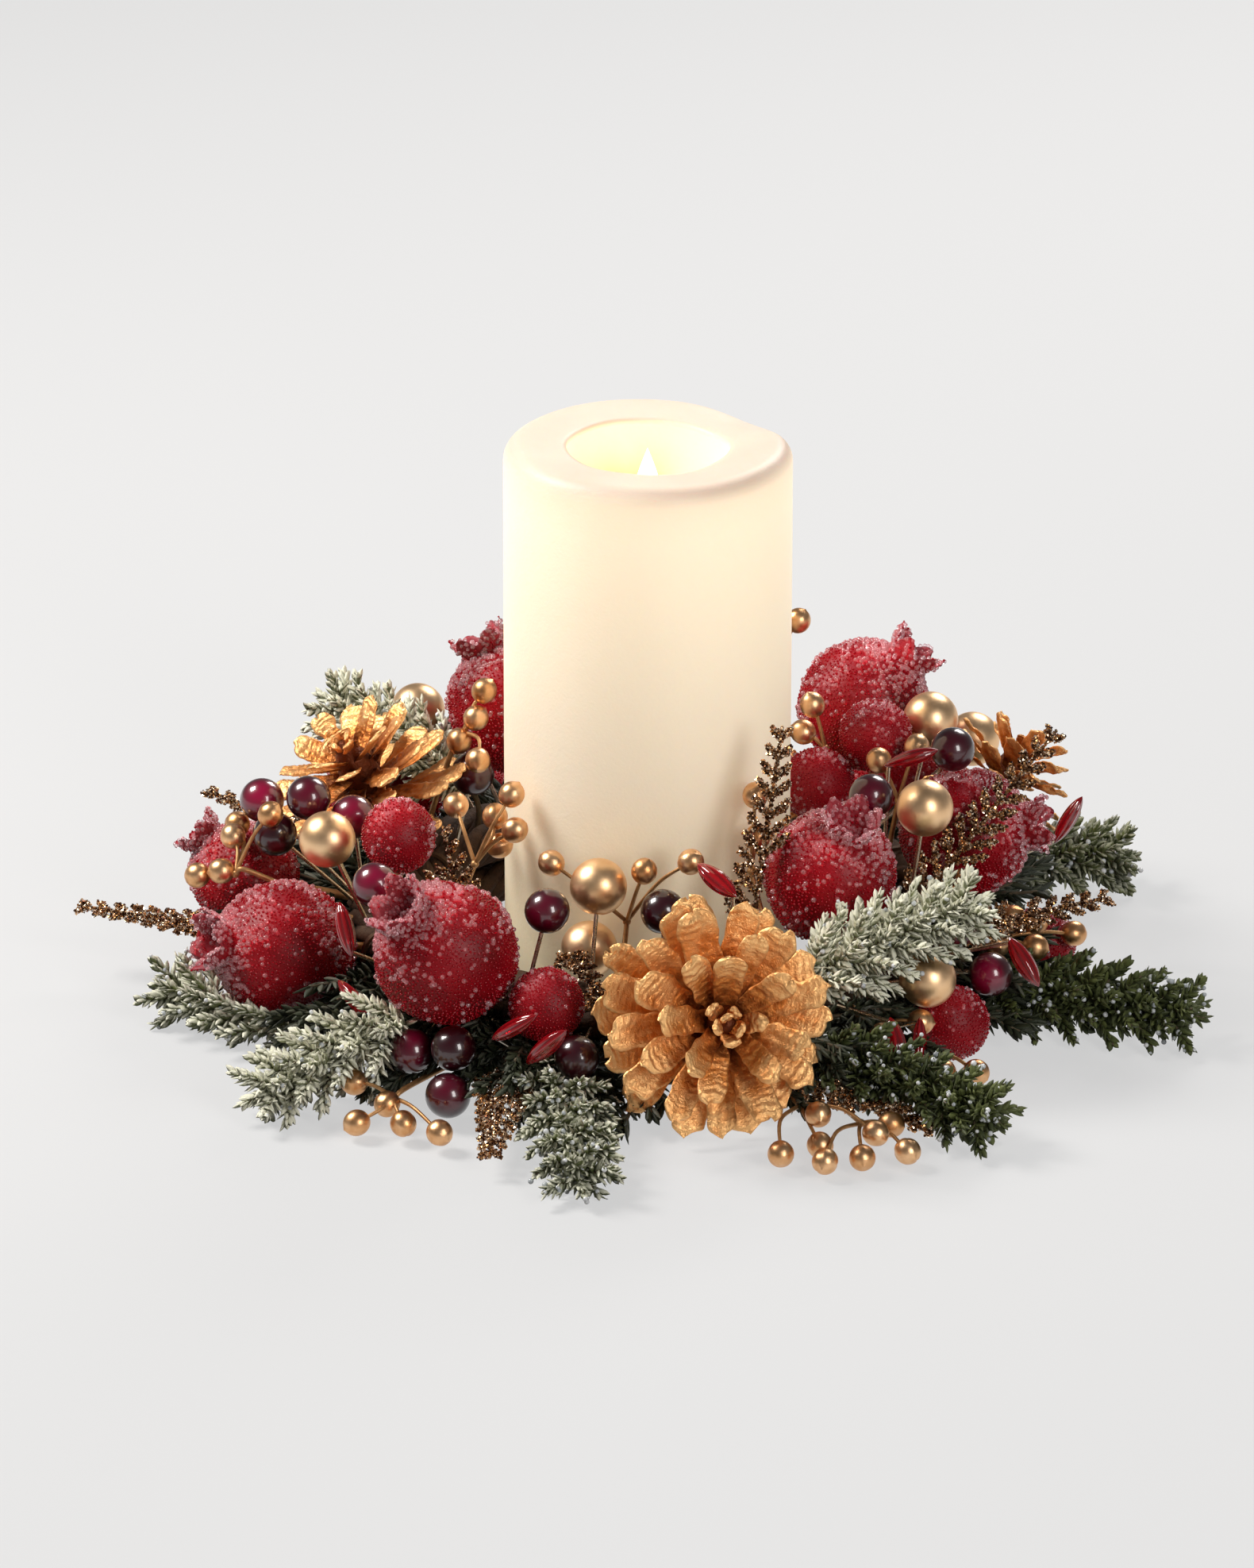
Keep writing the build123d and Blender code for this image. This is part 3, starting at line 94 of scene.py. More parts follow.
def turned_frames(ways: Array, rolls: Array) -> Array:
    """Rotation matrices whose Z axis lies along each direction.

    Args:
        ways: unit directions, one per row.
        rolls: angle about each direction, in radians.

    Returns:
        An array of 3 by 3 matrices, one per direction, with the axes as columns.
    """
    ways = unit(np.atleast_2d(ways))
    a = side_of(ways)
    b = np.cross(ways, a)
    c, s = np.cos(rolls)[:, None], np.sin(rolls)[:, None]
    return np.stack((a * c + b * s, b * c - a * s, ways), axis=-1)


def turned_frame(way: Array, roll: float) -> Array:
    """One rotation matrix whose Z axis lies along a direction."""
    return turned_frames(way, np.array([roll]))[0]


def random_ways(rng: Random, count: int) -> Array:
    """Unit directions at random, one per row."""
    return unit(rng.normal(size=(count, 3)))


def round_axis(out: Array, turn: Array, up: Array) -> Array:
    """Points given by distance from the Z axis, turn about it and height."""
    out, turn, up = np.broadcast_arrays(out, turn, up)
    return np.stack((out * np.cos(turn), out * np.sin(turn), up), axis=-1)


def circles(across: Array, other: Array, sides: int) -> Array:
    """Circles of radius one, one for each pair of directions across the line."""
    turn = np.linspace(0, math.tau, sides, endpoint=False)[None, :, None]
    return np.cos(turn) * across[:, None] + np.sin(turn) * other[:, None]


def turning(axis: int, angle: float) -> Array:
    """Rotation matrix about the X, Y or Z axis."""
    a, b = (axis + 1) % 3, (axis + 2) % 3
    matrix = np.eye(3)
    matrix[a, a] = matrix[b, b] = math.cos(angle)
    matrix[a, b], matrix[b, a] = -math.sin(angle), math.sin(angle)
    return matrix


def ripple(points: Array, size: float, seed: int, waves: int = 7) -> Array:
    """Smooth wandering value from about -1 to 1 over space.

    Args:
        points: places in metres, one per row.
        size: size of the bumps in metres.
        seed: picks the pattern.
        waves: number of waves added up.

    Returns:
        One value per point.
    """
    rng = seeded(seed)
    ways = random_ways(rng, waves) * (math.tau / size) * rng.uniform(0.6, 1.5, (waves, 1))
    phases = rng.uniform(0, math.tau, waves)
    return np.sin(points @ ways.T + phases).sum(1) / math.sqrt(waves) / 1.2


# Meshes

class Shape:
    """Points and faces that are gathered from many small shapes, then made into one mesh."""

    def __init__(self) -> None:
        """Starts empty."""
        self.points: list[Array] = []
        self.faces: list[Array] = []
        self.tags: list[Array] = []
        self.count = 0

    def add(self, points: Array, faces: Array, tag: Array | float = 0.0) -> None:
        """Adds points and the faces that join them.

        Args:
            points: places in metres, one per row.
            faces: point numbers, one face per row.
            tag: a value from 0 to 1 kept on the points for the material, one for all or one each.
        """
        self.points.append(points)
        self.faces.append(faces + self.count)
        self.tags.append(np.broadcast_to(np.asarray(tag, float), (len(points),)))
        self.count += len(points)

    def scatter(self, points: Array, faces: Array, frames: Array, places: Array,
                tags: Array | None = None) -> None:
        """Adds a small shape once for each frame and place.

        Args:
            points: the small shape's points.
            faces: the small shape's faces.
            frames: one 3 by 3 matrix per copy, scale included.
            places: one place per copy.
            tags: one value per copy.
        """
        if not len(places):
            return
        moved = np.einsum("nij,kj->nki", frames, points) + places[:, None, :]
        tag = np.zeros(len(places)) if tags is None else tags
        self.add_copies(moved, faces, np.repeat(tag, len(points)))

    def add_copies(self, copies: Array, faces: Array, tags: Array) -> None:
        """Adds copies of a small shape, given as copies by points by axes, with one tag per point."""
        steps = np.arange(len(copies))[:, None, None] * copies.shape[1]
        self.add(copies.reshape(-1, 3), (faces[None] + steps).reshape(-1, faces.shape[1]), tags)

    def add_stem(self, points: Sequence[Array], count: int, thick: float, thin: float, sides: int) -> Array:
        """Adds a tapered tube along a smooth curve.

        Args:
            points: what the curve passes through.
            count: number of points along it.
            thick: radius at its start.
            thin: radius at its end.
            sides: number of sides.

        Returns:
            The curve's points.
        """
        line = smooth_line(points, count)
        self.add(*tube(line, np.linspace(thick, thin, count), sides))
        return line

    def mesh(self, name: str, smooth: bool = True) -> bpy.types.Mesh:
        """Makes the mesh.

        Args:
            name: its name.
            smooth: whether its faces are shaded smooth.

        Returns:
            The mesh, with the tags as a point attribute.
        """
        mesh = bpy.data.meshes.new(name)
        points = np.concatenate(self.points)
        mesh.vertices.add(len(points))
        mesh.vertices.foreach_set("co", points.astype(np.float32).ravel())
        sizes = np.concatenate([np.full(len(f), f.shape[1]) for f in self.faces])
        corners = np.concatenate([f.ravel() for f in self.faces])
        mesh.loops.add(len(corners))
        mesh.loops.foreach_set("vertex_index", corners.astype(np.int32))
        mesh.polygons.add(len(sizes))
        starts = np.concatenate(([0], np.cumsum(sizes)[:-1]))
        mesh.polygons.foreach_set("loop_start", starts.astype(np.int32))
        mesh.polygons.foreach_set("use_smooth", np.full(len(sizes), smooth))
        mesh.update(calc_edges=True)
        layer = mesh.attributes.new("tag", "FLOAT", "POINT")
        layer.data.foreach_set("value", np.concatenate(self.tags).astype(np.float32))
        mesh.validate()
        return mesh


def grid_faces(rows: int, columns: int, closed: bool = True) -> Array:
    """Faces of a grid of points.

    Args:
        rows: number of rows of points.
        columns: points in each row.
        closed: whether each row closes on itself.

    Returns:
        Four point numbers per face.
    """
    r = np.arange(rows - 1)[:, None]
    c = np.arange(columns if closed else columns - 1)[None, :]
    n = (c + 1) % columns
    return np.stack((r * columns + c, r * columns + n, (r + 1) * columns + n, (r + 1) * columns + c),
                    axis=-1).reshape(-1, 4)


def icosphere(level: int) -> Pair:
    """Ball of radius one, made of triangles.

    Args:
        level: how many times each triangle is split in four.

    Returns:
        Points and faces.
    """
    t = (1 + math.sqrt(5)) / 2
    points = [(-1, t, 0), (1, t, 0), (-1, -t, 0), (1, -t, 0), (0, -1, t), (0, 1, t),
              (0, -1, -t), (0, 1, -t), (t, 0, -1), (t, 0, 1), (-t, 0, -1), (-t, 0, 1)]
    faces = [(0, 11, 5), (0, 5, 1), (0, 1, 7), (0, 7, 10), (0, 10, 11), (1, 5, 9), (5, 11, 4),
             (11, 10, 2), (10, 7, 6), (7, 1, 8), (3, 9, 4), (3, 4, 2), (3, 2, 6), (3, 6, 8),
             (3, 8, 9), (4, 9, 5), (2, 4, 11), (6, 2, 10), (8, 6, 7), (9, 8, 1)]
    points = [tuple(unit(np.array(p, float))) for p in points]
    for _ in range(level):
        middles: dict[tuple[int, int], int] = {}
        finer = []
        for a, b, c in faces:
            mids = []
            for i, j in ((a, b), (b, c), (c, a)):
                key = (min(i, j), max(i, j))
                if key not in middles:
                    middles[key] = len(points)
                    points.append(tuple(unit(np.array(points[i]) + np.array(points[j]))))
                mids.append(middles[key])
            ab, bc, ca = mids
            finer += [(a, ab, ca), (b, bc, ab), (c, ca, bc), (ab, bc, ca)]
        faces = finer
    return np.array(points), np.array(faces)


def ball_grid(rows: int, columns: int) -> Pair:
    """Ball of radius one with its poles on Z, as points and faces of four corners."""
    polar = np.linspace(0, math.pi, rows)[:, None]
    polar = np.clip(polar, 1e-3, math.pi - 1e-3)
    turn = np.linspace(0, math.tau, columns, endpoint=False)[None, :]
    points = round_axis(np.sin(polar), turn, np.cos(polar))
    return points.reshape(-1, 3), grid_faces(rows, columns)[:, ::-1]


def tube(line: Array, radii: Array | float, sides: int) -> Pair:
    """Tube along a line of points, closed at both ends by drawing in.

    Args:
        line: the centre line, one point per row.
        radii: radius at each point, or one for all.
        sides: number of sides.

    Returns:
        Points and faces.
    """
    radii = np.broadcast_to(np.asarray(radii, float), (len(line),))
    ways = unit(np.gradient(line, axis=0))
    across = np.empty_like(ways)
    across[0] = side_of(ways[0])[0]
    for n in range(1, len(line)):
        drift = across[n - 1] - ways[n] * np.dot(across[n - 1], ways[n])
        across[n] = unit(drift)
    ring = circles(across, np.cross(ways, across), sides)
    points = line[:, None] + ring * radii[:, None, None]
    caps = (line[0] + ring[0] * radii[0] * 0.05, line[-1] + ring[-1] * radii[-1] * 0.05)
    points = np.concatenate((caps[0][None], points, caps[1][None]))
    return points.reshape(-1, 3), grid_faces(len(line) + 2, sides)


def smooth_line(points: Sequence[Array], count: int) -> Array:
    """Catmull-Rom curve through a few points.

    Args:
        points: the points that it passes through.
        count: number of points in the result.

    Returns:
        The curve's points.
    """
    knots = np.array(points, float)
    if len(knots) == 2:
        return knots[0] + (knots[1] - knots[0]) * np.linspace(0, 1, count)[:, None]
    padded = np.concatenate((2 * knots[:1] - knots[1:2], knots, 2 * knots[-1:] - knots[-2:-1]))
    spot = np.linspace(0, len(knots) - 1, count)
    n = np.minimum(spot.astype(int), len(knots) - 2)
    t = (spot - n)[:, None]
    a, b, c, d = padded[n], padded[n + 1], padded[n + 2], padded[n + 3]
    return 0.5 * (2 * b + (c - a) * t + (2 * a - 5 * b + 4 * c - d) * t ** 2
                  + (3 * b - a - 3 * c + d) * t ** 3)


def spread_places(points: Array, faces: Array, spacing: Array | float, tries: int,
                  seed: int) -> Pair:
    """Scatters places over a mesh so that none lie closer than the spacing.

    Args:
        points: the mesh's points.
        faces: its faces of four points.
        spacing: least distance between places.
        tries: number of places tried.
        seed: picks the pattern.

    Returns:
        The places and the mesh's outward normals there.
    """
    rng = seeded(seed)
    a, b, c, d = (points[faces[:, n]] for n in range(4))
    normal = np.cross(c - a, d - b)
    area = norm(normal, axis=1)
    pick = rng.choice(len(faces), tries, p=area / area.sum())
    u, v = rng.random((tries, 1)), rng.random((tries, 1))
    spots = (a[pick] * (1 - u) + b[pick] * u) * (1 - v) + (d[pick] * (1 - u) + c[pick] * u) * v
    cells = np.floor(spots / spacing).astype(int)
    kept: dict[tuple[int, int, int], list[int]] = {}
    chosen = []
    for n, (i, j, k) in enumerate(cells.tolist()):
        spot = spots[n]
        near = [m for x in (-1, 0, 1) for y in (-1, 0, 1) for z in (-1, 0, 1)
                for m in kept.get((i + x, j + y, k + z), ())]
        if near and (((spots[near] - spot) ** 2).sum(1) < spacing ** 2).any():
            continue
        kept.setdefault((i, j, k), []).append(n)
        chosen.append(n)
    return spots[chosen], unit(normal[pick][chosen])


# Reading the solids of the frame

@dataclass
class Solid:
    """One separate solid of a node, in metres."""

    points: Array
    triangles: Array

    @property
    def centre(self) -> Array:
        """Middle of its box."""
        return (self.points.min(0) + self.points.max(0)) / 2

    @property
    def radius(self) -> float:
        """Half its longest side."""
        return float((self.points.max(0) - self.points.min(0)).max() / 2)


def solids_of(node: str) -> list[Solid]:
    """Splits a node's mesh into its separate solids.

    Args:
        node: the node's name.

    Returns:
        The solids, in the order of their first points.
    """
    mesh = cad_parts[node].data
    places = np.empty(len(mesh.vertices) * 3, np.float32)
    mesh.vertices.foreach_get("co", places)
    mesh.calc_loop_triangles()
    corners = np.empty(len(mesh.loop_triangles) * 3, np.int32)
    mesh.loop_triangles.foreach_get("vertices", corners)
    keys, index = np.unique(np.round(places.reshape(-1, 3) / WELD).astype(np.int64), axis=0,
                            return_inverse=True)
    points = keys * WELD
    triangles = index.reshape(-1)[corners].reshape(-1, 3)
    label = np.arange(len(points))
    while True:
        low = label[triangles].min(1)
        new = label.copy()
        np.minimum.at(new, triangles.ravel(), np.repeat(low, 3))
        new = new[new]
        if (new == label).all():
            break
        label = new
    found = []
    for value in np.unique(label[triangles[:, 0]]):
        inside = np.flatnonzero(label == value)
        place_of = np.full(len(points), -1)
        place_of[inside] = np.arange(len(inside))
        chosen = triangles[label[triangles[:, 0]] == value]
        found.append(Solid(points[inside], place_of[chosen]))
    return found


def fit_ball(points: Array, tries: int = 500, near: float = 1e-4) -> tuple[Array, float]:
    """Finds the ball that most points lie on.

    Args:
        points: places in metres, some of them off the ball.
        tries: number of guesses.
        near: how far off the ball a point may lie.

    Returns:
        The ball's centre and radius.
    """
    rng = seeded(5)
    best = (0, points.mean(0), 0.02)
    for _ in range(tries):
        pick = points[rng.choice(len(points), 4, replace=False)] * 1000
        sides = 2 * (pick[1:] - pick[0])
        if abs(np.linalg.det(sides)) < 1:
            continue
        centre = np.linalg.solve(sides, (pick[1:] ** 2).sum(1) - (pick[0] ** 2).sum()) / 1000
        radius = float(norm(pick[0] / 1000 - centre))
        on_it = int((np.abs(norm(points - centre, axis=1) - radius) < near).sum())
        if on_it > best[0]:
            best = (on_it, centre, radius)
    return best[1], best[2]


def turn_axis(points: Array) -> Pair:
    """Finds the axis of a shape that repeats all round, pointing at its narrow end."""
    centre = points.mean(0)
    spread, axes = np.linalg.eigh(np.cov((points - centre).T))
    axis = axes[:, 0] if spread[1] - spread[0] > spread[2] - spread[1] else axes[:, 2]
    along = (points - centre) @ axis
    out = norm(points - centre - along[:, None] * axis, axis=1)
    if out[along > 0].mean() > out[along < 0].mean():
        axis = -axis
    return centre, axis


@dataclass
class Twig:
    """A twig's straight run and its side shoots, each as its foot and its tip."""

    root: Array
    tip: Array
    feet: Array
    tips: Array

    @property
    def way(self) -> Array:
        """Unit direction from root to tip."""
        return unit(self.tip - self.root)


@dataclass(frozen=True)
class TwigFinder:
    """Finds a twig's line from the small square ends of the needles that lean out from it.

    The fits say how far a measure may be off, as shares of the square's side or as cosines.
    """

    square: float
    lean: float
    side_fit: float = 0.04
    diagonal_fit: float = 0.06
    pair_fit: float = 0.06
    vote_fit: float = 0.08
    lean_fit: float = 0.12
    straight: float = 0.985
    rounds: int = 3
    weld: float = 0.05 * MM
    shortest: float = 1 * MM

    def square_ends(self, solid: Solid) -> Pair:
        """Middles of the needles' square ends, and which way each faces."""
        a, b, c = (solid.points[solid.triangles[:, n]] for n in range(3))
        facing = unit(np.cross(b - a, c - a))
        spots, ways = [], []
        for p, q, r in ((a, b, c), (b, c, a), (c, a, b)):
            fits = np.abs(norm(r - q, axis=1) / self.square - math.sqrt(2)) < self.diagonal_fit
            for corner in (q, r):
                fits &= np.abs(norm(corner - p, axis=1) / self.square - 1) < self.side_fit
            spots.append((q[fits] + r[fits]) / 2)
            ways.append(facing[fits])
        return np.concatenate(spots), np.concatenate(ways)

    def forward(self, facing: Array) -> Pair:
        """The direction that most ends lean out from, and which ends those are."""
        cosine = math.cos(self.lean)
        pairs = np.argwhere(np.abs(facing @ facing.T - math.cos(2 * self.lean)) < self.pair_fit)
        guesses = unit(facing[pairs[:, 0]] + facing[pairs[:, 1]])
        votes = (np.abs(facing @ guesses.T - cosine) < self.vote_fit).sum(0)
        forward = guesses[np.argmax(votes)]
        for _ in range(self.rounds):
            fits = np.abs(facing @ forward - cosine) < self.lean_fit
            target = np.full(int(fits.sum()), cosine)
            forward = unit(np.linalg.lstsq(facing[fits], target, rcond=0.05)[0])
        return forward, fits

    def find(self, solid: Solid) -> Twig:
        """Finds a twig's line.

        Args:
            solid: the twig with its needles.

        Returns:
            The line, with the feet and tips of the needles.
        """
        spots, facing = self.square_ends(solid)
        forward, fits = self.forward(facing)
        straight = spots[facing @ forward > self.straight]
        origin = straight[np.argmax(straight @ forward)] if len(straight) else spots[fits].mean(0)
        tips = np.unique(np.round(spots[fits] / self.weld), axis=0) * self.weld
        offset = tips - origin
        along = offset @ forward
        out = norm(offset - along[:, None] * forward, axis=1)
        feet = along - out / math.tan(self.lean)
        high = float(((spots - origin) @ forward).max())
        low = min(float(feet.min()), high - self.shortest)
        return Twig(origin + forward * low, origin + forward * high, origin + forward * feet[:, None], tips)


def hub_of(place: Array) -> Array:
    """Point on the vines' middle line nearest to a place."""
    level = unit(np.array((place[0], place[1], 0.0)))
    return level * VINE_RADIUS + UP * VINE_HEIGHT


# Materials

class Graph:
    """Short calls that add nodes to a material or a node group and link them."""

    def __init__(self, tree: Tree) -> None:
        """Works on one node tree."""
        self.tree = tree

    def fill(self, node: Node, values: dict) -> None:
        """Sets or links a node's inputs.

        Args:
            node: the node.
            values: what its inputs are set to or linked from, by name or number.
        """
        for name, value in values.items():
            socket = node.inputs[name]
            if isinstance(value, Socket):
                self.tree.links.new(value, socket)
            elif isinstance(value, tuple) and socket.type == "RGBA":
                socket.default_value = (*value, 1.0)
            else:
                socket.default_value = value

    def add(self, kind: str, values: dict | None = None, **settings: object) -> Node:
        """Adds a node.

        Args:
            kind: the node's type, without its ShaderNode prefix.
            values: what its inputs are set to or linked from, by name or number.
            settings: its other properties.

        Returns:
            The node.
        """
        node = self.tree.nodes.new("ShaderNode" + kind)
        for name, value in settings.items():
            setattr(node, name, value)
        self.fill(node, values or {})
        return node

    def group(self, tree: Tree, **values: float) -> Node:
        """Places a shared node group with its own values."""
        return self.add("Group", values, node_tree=tree)

    def tag(self) -> Socket:
        """The value that a shape keeps on its points."""
        return self.add("Attribute", attribute_name="tag").outputs["Fac"]

    def spot(self) -> Socket:
        """The place on the surface, in metres."""
        return self.add("TexCoord").outputs["Object"]

    def math(self, operation: str, a: object, b: object = 0.0) -> Socket:
        """Adds a math node and gives its output."""
        return self.add("Math", {0: a, 1: b}, operation=operation).outputs[0]

    def swing(self, value: object, amount: object) -> Socket:
        """Centres a value from 0 to 1 on zero and scales it."""
        return self.math("MULTIPLY", self.math("SUBTRACT", value, 0.5), amount)

    def blend(self, share: object, a: object, b: object) -> Socket:
        """Mixes two colours."""
        return self.add("Mix", {"Factor": share, 6: a, 7: b}, data_type="RGBA").outputs[2]

    def steps(self, value: object, stops: Sequence[tuple[float, Colour]]) -> Socket:
        """Turns a value into a colour by a ramp of a few stops."""
        node = self.add("ValToRGB", {"Fac": value})
        ramp = node.color_ramp
        while len(ramp.elements) < len(stops):
            ramp.elements.new(1.0)
        for element, (place, colour) in zip(ramp.elements, stops):
            element.position = place
            element.color = (*colour, 1.0)
        return node.outputs["Color"]

    def spread(self, value: object, low: float, high: float) -> Socket:
        """Stretches a value so that low gives 0 and high gives 1, clamped."""
        return self.add("MapRange", {"Value": value, "From Min": low, "From Max": high}).outputs["Result"]


def new_group(name: str, inputs: dict[str, float], outputs: Sequence[str]
              ) -> tuple[Graph, dict[str, Socket], Node]:
    """Starts a shader node group.

    Args:
        name: the group's name.
        inputs: its values with their defaults.
        outputs: its outputs.

    Returns:
        The group's graph, the sockets of its inputs by name, and its output node.
    """
    tree = bpy.data.node_groups.new(name, "ShaderNodeTree")
    for label, value in inputs.items():
        socket = tree.interface.new_socket(label, in_out="INPUT", socket_type="NodeSocketFloat")
        socket.default_value = value
    for label in outputs:
        tree.interface.new_socket(label, in_out="OUTPUT", socket_type="NodeSocketFloat")
    given = tree.nodes.new("NodeGroupInput").outputs
    return Graph(tree), {label: given[label] for label in inputs}, tree.nodes.new("NodeGroupOutput")


class Effects:
    """The node groups that several materials share."""

    frost_edge = (0.9, 1.15)

    def __init__(self) -> None:
        """Builds each group once."""
        self.frost = self.make_frost()
        self.relief = self.make_relief()
        self.patches = self.make_patches()

    def make_frost(self) -> Tree:
        """Mask of frost that settles on upper sides, broken up by noise."""
        inputs = {"Amount": 0.5, "Scale": 400.0, "Upward": 0.5}
        graph, given, result = new_group("settled_frost", inputs, ["Mask"])
        noise = graph.add("TexNoise", {"Vector": graph.spot(), "Scale": given["Scale"], "Detail": 4.0,
                                       "Roughness": 0.65}).outputs["Fac"]
        normal = graph.add("NewGeometry").outputs["Normal"]
        height = graph.add("SeparateXYZ", {"Vector": normal}).outputs["Z"]
        lift = graph.math("MULTIPLY", height, given["Upward"])
        level = graph.math("ADD", graph.math("ADD", noise, lift), given["Amount"])
        graph.fill(result, {"Mask": graph.spread(level, *self.frost_edge)})
        return graph.tree

    def make_relief(self) -> Tree:
        """Height of a fine and a coarse grain together."""
        inputs = {"Fine": 1500.0, "Coarse": 200.0, "Share": 0.5}
        graph, given, result = new_group("two_grains", inputs, ["Height"])
        spot = graph.spot()
        fine = graph.add("TexNoise", {"Vector": spot, "Scale": given["Fine"], "Detail": 2.0}).outputs["Fac"]
        coarse = graph.add("TexNoise", {"Vector": spot, "Scale": given["Coarse"], "Detail": 5.0}).outputs["Fac"]
        part = graph.math("MULTIPLY", fine, given["Share"])
        rest = graph.math("MULTIPLY", coarse, graph.math("SUBTRACT", 1.0, given["Share"]))
        graph.fill(result, {"Height": graph.math("ADD", part, rest)})
        return graph.tree

    def make_patches(self) -> Tree:
        """Soft patches over a piece, and a steady value for each loose bit of it."""
        graph, given, result = new_group("soft_patches", {"Scale": 60.0, "Contrast": 1.0}, ["Patch", "Each"])
        noise = graph.add("TexNoise", {"Vector": graph.spot(), "Scale": given["Scale"], "Detail": 3.0})
        patch = graph.math("ADD", graph.swing(noise.outputs["Fac"], given["Contrast"]), 0.5)
        graph.fill(result, {"Patch": graph.spread(patch, 0.0, 1.0),
                            "Each": graph.add("NewGeometry").outputs["Random Per Island"]})
        return graph.tree


EFFECTS = Effects()


@dataclass(frozen=True)
class Finish:
    """A surface finish; each kind says what its own nodes give to the shader."""

    name: str
    roughness: float = 0.5
    metallic: float = 0.0

    def material(self) -> bpy.types.Material:
        """Gives the finish's material, made once."""
        known = bpy.data.materials.get(self.name)
        if known is not None:
            return known
        material = bpy.data.materials.new(self.name)
        material.use_nodes = True
        graph = Graph(material.node_tree)
        shader = graph.tree.nodes["Principled BSDF"]
        graph.fill(shader, {"Roughness": self.roughness, "Metallic": self.metallic})
        graph.fill(shader, self.dress(graph))
        return material

    def dress(self, graph: Graph) -> Inputs:
        """Adds this finish's nodes and gives what the shader's inputs take."""
        raise NotImplementedError

    @staticmethod
    def patches(graph: Graph, scale: float, contrast: float) -> bpy.types.bpy_prop_collection:
        """Outputs of the shared patches."""
        return graph.group(EFFECTS.patches, Scale=scale, Contrast=contrast).outputs

    @staticmethod
    def bump(graph: Graph, height: Socket, strength: float, depth: float) -> Socket:
        """The normal of a bumped surface."""
        return graph.add("Bump", {"Height": height, "Strength": strength, "Distance": depth}).outputs["Normal"]

    @staticmethod
    def grain(graph: Graph, fine: float, coarse: float, share: float = 0.5) -> Socket:
        """Height of the shared two grains."""
        return graph.group(EFFECTS.relief, Fine=fine, Coarse=coarse, Share=share).outputs["Height"]


@dataclass(frozen=True)
class Plain(Finish):
    """Moulded, painted or metal surface with soft patches of tone and a fine grain."""

    light: Colour = (0.5, 0.5, 0.5)
    dark: Colour = (0.4, 0.4, 0.4)
    patch_scale: float = 80.0
    fine: float = 2500.0
    coarse: float = 300.0
    depth: float = 0.0001
    bump_strength: float = 0.3
    coat: float = 0.0
    each: float = 0.0
    uneven: float = 0.25

    def dress(self, graph: Graph) -> Inputs:
        """Mixes two tones and adds the grain, which also varies the roughness."""
        patches = self.patches(graph, scale=self.patch_scale, contrast=1.6)
        share = patches["Patch"]
        if self.each:
            share = graph.math("ADD", share, graph.swing(patches["Each"], self.each))
        height = self.grain(graph, self.fine, self.coarse)
        return {"Base Color": graph.blend(graph.spread(share, 0.0, 1.0), self.dark, self.light),
                "Roughness": graph.math("ADD", graph.swing(height, self.uneven), self.roughness),
                "Normal": self.bump(graph, height, self.bump_strength, self.depth),
                "Coat Weight": self.coat, "Coat Roughness": 0.08}


@dataclass(frozen=True)
class FruitSkin(Finish):
    """Deep red skin under the beads, paler and frosted where the beads are crusted."""

    deep: Colour = (0.15, 0.0006, 0.003)
    bright: Colour = (0.46, 0.003, 0.013)
    frost: Colour = (0.66, 0.30, 0.36)
    frost_share: float = 0.13

    def dress(self, graph: Graph) -> Inputs:
        """Mixes the reds, then lays frost by the tag and on upper sides."""
        red = graph.blend(self.patches(graph, scale=55.0, contrast=2.2)["Patch"], self.deep, self.bright)
        settled = graph.group(EFFECTS.frost, Amount=0.18, Scale=260.0, Upward=0.32).outputs["Mask"]
        mask = graph.math("MULTIPLY", graph.math("ADD", settled, graph.tag()), self.frost_share)
        height = self.grain(graph, fine=1400.0, coarse=300.0, share=0.7)
        return {"Base Color": graph.blend(graph.spread(mask, 0.0, 1.0), red, self.frost),
                "Normal": self.bump(graph, height, strength=0.6, depth=0.0004), "Specular IOR Level": 0.3}


@dataclass(frozen=True)
class BeadGlass(Finish):
    """Tiny glass beads glued over a skin, clearer where the tag is high."""

    tint: Colour = (0.48, 0.003, 0.017)
    clear: Colour = (1.0, 0.86, 0.89)
    passed: Colour = (1.0, 0.45, 0.48)
    transmission: float = 0.35
    see_through: float = 0.75
    ior: float = 1.5

    def dress(self, graph: Graph) -> Inputs:
        """Mixes the two colours by the tag and by bead, and lets light through to the skin."""
        each = graph.swing(self.patches(graph, scale=300.0, contrast=1.6)["Each"], 0.4)
        share = graph.spread(graph.math("ADD", graph.tag(), each), 0.2, 1.0)
        shadow = graph.add("LightPath").outputs["Is Shadow Ray"]
        through = graph.add("BsdfTransparent", {"Color": self.passed})
        glass = graph.tree.nodes["Principled BSDF"]
        mixed = graph.add("MixShader", {0: graph.math("MULTIPLY", shadow, self.see_through),
                                        1: glass.outputs[0], 2: through.outputs[0]})
        graph.fill(graph.tree.nodes["Material Output"], {"Surface": mixed.outputs[0]})
        return {"Base Color": graph.blend(share, self.tint, self.clear),
                "Transmission Weight": self.transmission, "IOR": self.ior}


